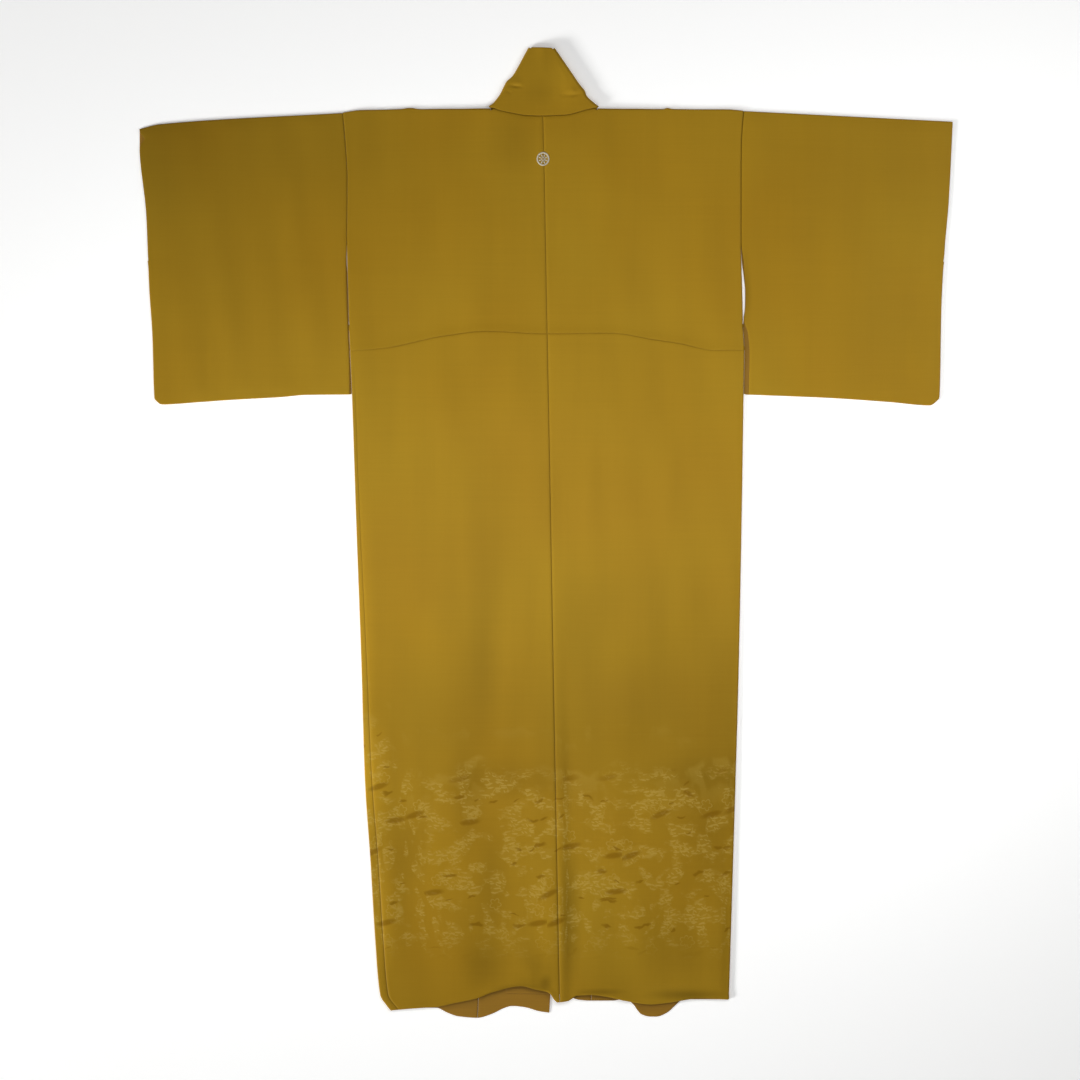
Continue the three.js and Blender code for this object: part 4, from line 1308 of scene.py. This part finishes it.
def figuring(tree, place):
    """What the weave draws above the hem, each 1 where it is full: mist, pale figures and dark leaves."""
    level = figured_level(tree, place)
    top = reached(tree, level, -385, 30)
    area = add(tree, "Math", {0: top, 1: above_hem(tree, place)}, operation="MULTIPLY")
    wander = add(tree, "TexNoise", {"Vector": place, "Scale": 1 / 22, "Detail": 2.0}).outputs["Color"]
    wavy = add(tree, "VectorMath", {0: wander, 1: (26, 22, 0), 2: place}, operation="MULTIPLY_ADD")

    sprays = groups(tree, place, 36, 27, 1.5, 0.46, 0.6)
    strokes = woven_strokes(tree, place, wavy)
    drawn = add(tree, "Math", {0: strokes, 1: sprays}, operation="MULTIPLY")
    outlines = blossoms(tree, place, 58, 9.5, 0.45)
    faint = add(tree, "Math", {0: outlines, 1: 0.7}, operation="MULTIPLY")
    drawn = add(tree, "Math", {0: drawn, 1: faint}, operation="MAXIMUM")
    figure = add(tree, "Math", {0: drawn, 1: area}, operation="MULTIPLY")

    banks = groups(tree, place, 150, 42, 2.0, 0.44, 0.6)
    high = mist_bank(tree, banks, level, -378, -480, 100)
    upper = mist_bank(tree, banks, level, -318, -350, 32)
    thin = add(tree, "Math", {0: upper, 1: 0.6}, operation="MULTIPLY")
    low = add(tree, "Math", {0: sprays, 1: area}, operation="MULTIPLY")
    mist = add(tree, "Math", {0: low, 1: 0.55}, operation="MULTIPLY")
    for bank in (high, thin):
        mist = add(tree, "Math", {0: mist, 1: bank}, operation="MAXIMUM")

    shaded = leaves(tree, place, 60, (16, 4.6), (-0.5, -0.08), 0.42, soft=0.9)
    bits = leaves(tree, wavy, 43, (9, 2.8), (-0.5, 0.3), 0.3, soft=0.9)
    chips = leaves(tree, wavy, 27, (5.5, 1.6), (-0.5, 0.1), 0.16, soft=0.8)
    for smaller in (chips, bits):
        shaded = add(tree, "Math", {0: shaded, 1: smaller}, operation="MAXIMUM")
    shaded = add(tree, "Math", {0: shaded, 1: area}, operation="MULTIPLY")
    return mist, figure, shaded


def tinted(tree, colour, factor, tone, share=1.0):
    """A colour changed towards a tone by a factor, as far as a share."""
    amount = add(tree, "Math", {0: factor, 1: share}, operation="MULTIPLY")
    mixed = add(tree, "Mix", {"Factor": amount}, data_type="RGBA")
    tree.links.new(colour, mixed.inputs["A"])
    mixed.inputs["B"].default_value = linear(tone)
    return mixed.outputs["Result"]


def patches(tree, place, rows):
    """A factor around 1 from soft ovals of tone."""
    factor = None
    for patch in rows_of(rows):
        from_middle = add(tree, "VectorMath", {0: place, 1: (-patch["x"], -patch["y"], 0)}, operation="ADD")
        scale = (1 / patch["across"], 1 / patch["along"], 0)
        scaled = add(tree, "VectorMath", {0: from_middle, 1: scale}, operation="MULTIPLY")
        away = add(tree, "VectorMath", {0: scaled}, operation="LENGTH").outputs["Value"]
        limits = {"From Min": 1, "From Max": 0, "To Min": 1, "To Max": 1 - patch["amount"]}
        depth = add(tree, "MapRange", {"Value": away, **limits}, interpolation_type="SMOOTHSTEP")
        factor = depth if factor is None else add(tree, "Math", {0: factor, 1: depth}, operation="MULTIPLY")
    return factor


# Soft ovals of deeper or, where the amount is below 0, paler tone, each with its half width and half height.
# Most are painted light: the smaller deeper ones painted shade of hollows too shallow to model and painted
# shadow along the hem, the paler ones painted light where the cloth faces the light, and the widest paint in
# how the light falls off over the cloth. The rest are uneven dye.
PAINTED_LIGHT_AND_DYE_PATCHES = table(
    "x y across along amount",
    (-720, 720, 420, 420, 0.3),
    (-370, 640, 190, 170, 0.1),
    (-530, 400, 120, 190, 0.08),
    (-65, 640, 60, 70, 0.08),
    (170, 600, 250, 200, -0.11),
    (200, 420, 130, 150, -0.05),
    (540, 600, 240, 210, 0.05),
    (560, 330, 160, 140, 0.05),
    (180, -300, 300, 260, 0.16),
    (60, -140, 80, 130, 0.12),
    (40, -330, 120, 200, 0.1),
    (300, -340, 120, 520, 0.09),
    (-170, -320, 200, 180, 0.11),
    (-98, -70, 44, 330, 0.11),
    (-110, -230, 50, 140, 0.09),
    (-60, -405, 150, 50, 0.13),
    (-130, -450, 44, 140, 0.12),
    (-225, -520, 42, 110, 0.15),
    (250, -400, 150, 50, 0.14),
    (290, -480, 150, 190, 0.1),
    (222, -690, 84, 90, 0.13),
    (-85, -580, 36, 150, 0.12),
    (-165, -540, 70, 150, -0.1),
    (0, -630, 50, 110, -0.08),
    (-100, -716, 50, 66, 0.2),
    (0, -741, 15, 18, 0.3),
    (88, -757, 60, 8, 0.25),
    (42, -630, 22, 150, 0.2),
    (-308, -230, 36, 400, -0.3),
    (-292, -400, 44, 140, -0.28),
    (-270, -640, 30, 150, -0.14),
    (230, -762, 84, 14, 0.35),
    (-44, -752, 60, 14, 0.25),
    (34, 745, 50, 70, -0.2),
    (-10, 725, 40, 30, 0.1),
    (150, -90, 120, 110, 0.07),
)


@functools.cache
def silk_crepe():
    """Silk satin crepe, piece-dyed old gold, woven with tone-on-tone figuring above the hem: a soft lustre
    painted into its colour as bands of sheen along the warp, faint weft bars, a fine pebbled grain, and leaf
    sprays, blossoms and mist that shine a little paler than the ground. Painted shade and light lie along its
    seams and in soft ovals."""
    material, tree = new_tree("silk_satin_crepe_figured_weave")
    place = in_millimetres(tree)

    # Dye, painted sheen and painted light: broad clouds of dye, bands of painted sheen along the warp, bars
    # along the weft, and soft ovals of painted light, painted shade and dye.
    clouds = add(tree, "TexNoise", {"Vector": place, "Scale": 1 / 320, "Detail": 2.0})
    ground = add(tree, "ValToRGB", {0: clouds})
    ground.color_ramp.elements[0].position = 0.3
    ground.color_ramp.elements[0].color = linear("#9e781a")
    ground.color_ramp.elements[1].position = 0.7
    ground.color_ramp.elements[1].color = linear("#a3801e")
    bands = unevenness(tree, place, 38, 420, 2.0, 0.022)
    bars = unevenness(tree, place, 170, 3.0, 2.0, 0.016)
    threads = unevenness(tree, place, 3.4, 200, 2.0, 0.009)
    painted_light_and_tone = bands
    for factor in (bars, threads, patches(tree, place, PAINTED_LIGHT_AND_DYE_PATCHES)):
        painted_light_and_tone = add(tree, "Math", {0: painted_light_and_tone, 1: factor}, operation="MULTIPLY")
    colour = add(tree, "VectorMath", {0: ground, "Scale": painted_light_and_tone}, operation="SCALE").outputs[0]

    mist, figure, shaded = figuring(tree, place)
    colour = tinted(tree, colour, mist, "#b8993f", 0.25)
    colour = tinted(tree, colour, figure, "#cbb05a", 0.3)
    colour = tinted(tree, colour, shaded, "#7a5402", 0.62)

    # Painted shade from the "seam" value: along sewn edges and the tuck, which also hold a little more dye,
    # just under the back hem, and where the right sleeve gapes from the body.
    sewn = add(tree, "Attribute", {}, attribute_name="seam").outputs["Fac"]
    colour = tinted(tree, colour, sewn, "#3c2b04", 0.5)

    # Grain: crepe's pebbles are about 0.6 mm wide, drawn three times as wide so that they show.
    pebbles = add(tree, "TexNoise", {"Vector": place, "Scale": 1 / 1.8, "Detail": 2.0})
    weave = add(tree, "Math", {0: figure, 1: 0.5, 2: pebbles}, operation="MULTIPLY_ADD")
    grain = add(tree, "Bump", {"Strength": 0.22, "Distance": 0.00025, "Height": weave})
    limits = {"From Min": 0.3, "From Max": 0.7, "To Min": 0.44, "To Max": 0.52}
    duller = add(tree, "MapRange", {"Value": clouds, **limits})
    glossier = add(tree, "Math", {0: figure, 1: -0.1, 2: duller}, operation="MULTIPLY_ADD")
    shader = add(
        tree,
        "BsdfPrincipled",
        {
            "Base Color": colour,
            "Roughness": glossier,
            "Normal": grain,
            "IOR": 1.45,
            "Specular IOR Level": 0.3,
            "Specular Tint": linear("#e8cd85"),
            "Sheen Weight": 0.2,
            "Sheen Roughness": 0.4,
            "Sheen Tint": linear("#d9b860"),
        },
    )
    add(tree, "OutputMaterial", {"Surface": shader})
    return material


@functools.cache
def silk_lining():
    """Plain-woven silk lining, piece-dyed to match: flatter and browner than the crepe, with fine weft
    bars. It shows where the fronts reach past the back hem and inside the sleeves."""
    material, tree = new_tree("silk_lining_plain_weave")
    place = in_millimetres(tree)
    clouds = unevenness(tree, place, 90, 120, 3.0, 0.06)
    bars = unevenness(tree, place, 120, 2.6, 2.0, 0.035)
    uneven = add(tree, "Math", {0: clouds, 1: bars}, operation="MULTIPLY")
    dye = linear("#986f1b")[:3]
    ground = add(tree, "VectorMath", {0: dye, "Scale": uneven}, operation="SCALE").outputs[0]
    # Painted shade from the "seam" value: along sewn edges, just under the back hem, and where the right
    # sleeve gapes.
    sewn = add(tree, "Attribute", {}, attribute_name="seam").outputs["Fac"]
    colour = tinted(tree, ground, sewn, "#3c2b04", 0.5)
    # Threads of about 0.3 mm, drawn 2 mm wide so that they show.
    threads = add(tree, "TexNoise", {"Vector": place, "Scale": 1 / 2.0, "Detail": 1.0})
    grain = add(tree, "Bump", {"Strength": 0.15, "Distance": 0.0002, "Height": threads})
    finish = {"Roughness": 0.55, "IOR": 1.45, "Specular IOR Level": 0.25, "Sheen Weight": 0.15}
    shader = add(tree, "BsdfPrincipled", {"Base Color": colour, "Normal": grain, **finish})
    add(tree, "OutputMaterial", {"Surface": shader})
    return material


def embroidery_floss():
    """Untwisted off-white silk floss in satin stitch: pale, ribbed by its stitches, with a dull gleam."""
    material, tree = new_tree("silk_floss_satin_stitch")
    place = in_millimetres(tree)
    centre = (-ROUNDEL["x"], -ROUNDEL["y"], 0)
    from_middle = add(tree, "VectorMath", {0: place, 1: centre}, operation="ADD")
    parts = add(tree, "SeparateXYZ", {0: from_middle}).outputs
    around = add(tree, "Math", {0: parts[1], 1: parts[0]}, operation="ARCTAN2")
    # 60 stitches round the ring, each about 1 mm wide.
    turned = add(tree, "Math", {0: around, 1: 60.0}, operation="MULTIPLY")
    stitches = add(tree, "Math", {0: turned}, operation="SINE")
    limits = {"From Min": -1, "From Max": 0.2, "To Min": 0.7, "To Max": 1}
    shade = add(tree, "MapRange", {"Value": stitches, **limits})
    floss = linear("#d2c9b2")[:3]
    colour = add(tree, "VectorMath", {0: floss, "Scale": shade}, operation="SCALE")
    ribs = add(tree, "Bump", {"Strength": 0.4, "Distance": 0.0003, "Height": stitches})
    finish = {"Roughness": 0.5, "Specular IOR Level": 0.3, "Sheen Weight": 0.2}
    shader = add(tree, "BsdfPrincipled", {"Base Color": colour, "Normal": ribs, **finish})
    add(tree, "OutputMaterial", {"Surface": shader})
    return material


# ---- Surroundings ----
FRAME_CENTRE = (-9.9, -11.6)
FRAME_WIDTH = 1782
CAMERA_HEIGHT = 4000  # above the garment's back
BACK_LEVEL = 4


def add_camera():
    """Straight down on the garment, with its neck at the top of the frame."""
    lens = bpy.data.cameras.new("camera")
    lens.sensor_width = 36
    lens.lens = lens.sensor_width * CAMERA_HEIGHT / FRAME_WIDTH
    camera = bpy.data.objects.new("camera", lens)
    camera.location = (FRAME_CENTRE[0] * MM, FRAME_CENTRE[1] * MM, (CAMERA_HEIGHT + BACK_LEVEL) * MM)
    bpy.context.scene.collection.objects.link(camera)
    bpy.context.scene.camera = camera


# Soft boxes: where each hangs, what it faces and its size, in metres, and its power in watts. The first rakes
# across the cloth.
LIGHTS = {
    "raking": ((-6, -3, 2.2), (0, -0.05, 0), (2, 1.2), 508),
    "overhead": ((0, -0.02, 0.9), (0, -0.02, 0), (1.6, 0.3), 4.6),
    "near_middle": ((-0.1, -0.1, 1.2), (0, -0.05, 0), (0.8, 0.6), 1.4),
    "from_right": ((1.2, 0.5, 1.2), (0, -0.05, 0), (0.8, 0.8), 7.7),
}
ROOM_LIGHT = 0.09


def add_lights():
    for name, (place, aim, size, power) in LIGHTS.items():
        lamp = bpy.data.lights.new(name, "AREA")
        lamp.shape = "RECTANGLE"
        lamp.size, lamp.size_y = size
        lamp.energy = power
        light = bpy.data.objects.new(name, lamp)
        light.location = place
        way = Vector(aim) - Vector(place)
        light.rotation_euler = way.to_track_quat("-Z", "Y").to_euler()
        light.visible_camera = False
        bpy.context.scene.collection.objects.link(light)
    world = bpy.data.worlds.new("studio")
    world.use_nodes = True
    world.node_tree.nodes["Background"].inputs[0].default_value = (1, 1, 1, 1)
    world.node_tree.nodes["Background"].inputs[1].default_value = ROOM_LIGHT
    bpy.context.scene.world = world


FLOOR_GLOW = 0.3  # the board is lit a little from beneath, like a light table
FLOOR_HALF = 30  # metres, so that its edge is out of sight
FLOOR_DROP = 0.3  # millimetres between it and the cloth


def add_floor():
    bm = bmesh.new()
    bmesh.ops.create_grid(bm, x_segments=1, y_segments=1, size=FLOOR_HALF)
    bmesh.ops.translate(bm, vec=(0, 0, -FLOOR_DROP * MM), verts=bm.verts)
    floor = new_object("floor", bm)
    material = bpy.data.materials.new("matt_white_board")
    material.use_nodes = True
    shader = material.node_tree.nodes["Principled BSDF"]
    finish = {
        "Base Color": linear("#f8f8f7"),
        "Roughness": 0.9,
        "Specular IOR Level": 0.1,
        "Emission Color": (1, 1, 1, 1),
        "Emission Strength": FLOOR_GLOW,
    }
    for socket, value in finish.items():
        shader.inputs[socket].default_value = value
    floor.data.materials.append(material)


bpy.context.scene.view_settings.view_transform = "Standard"
add_camera()
add_lights()
add_floor()
for hand in ("left", "right"):
    body_panel(hand)
    overlap_panel(hand)
    sleeve(hand)
collars()
roundel()
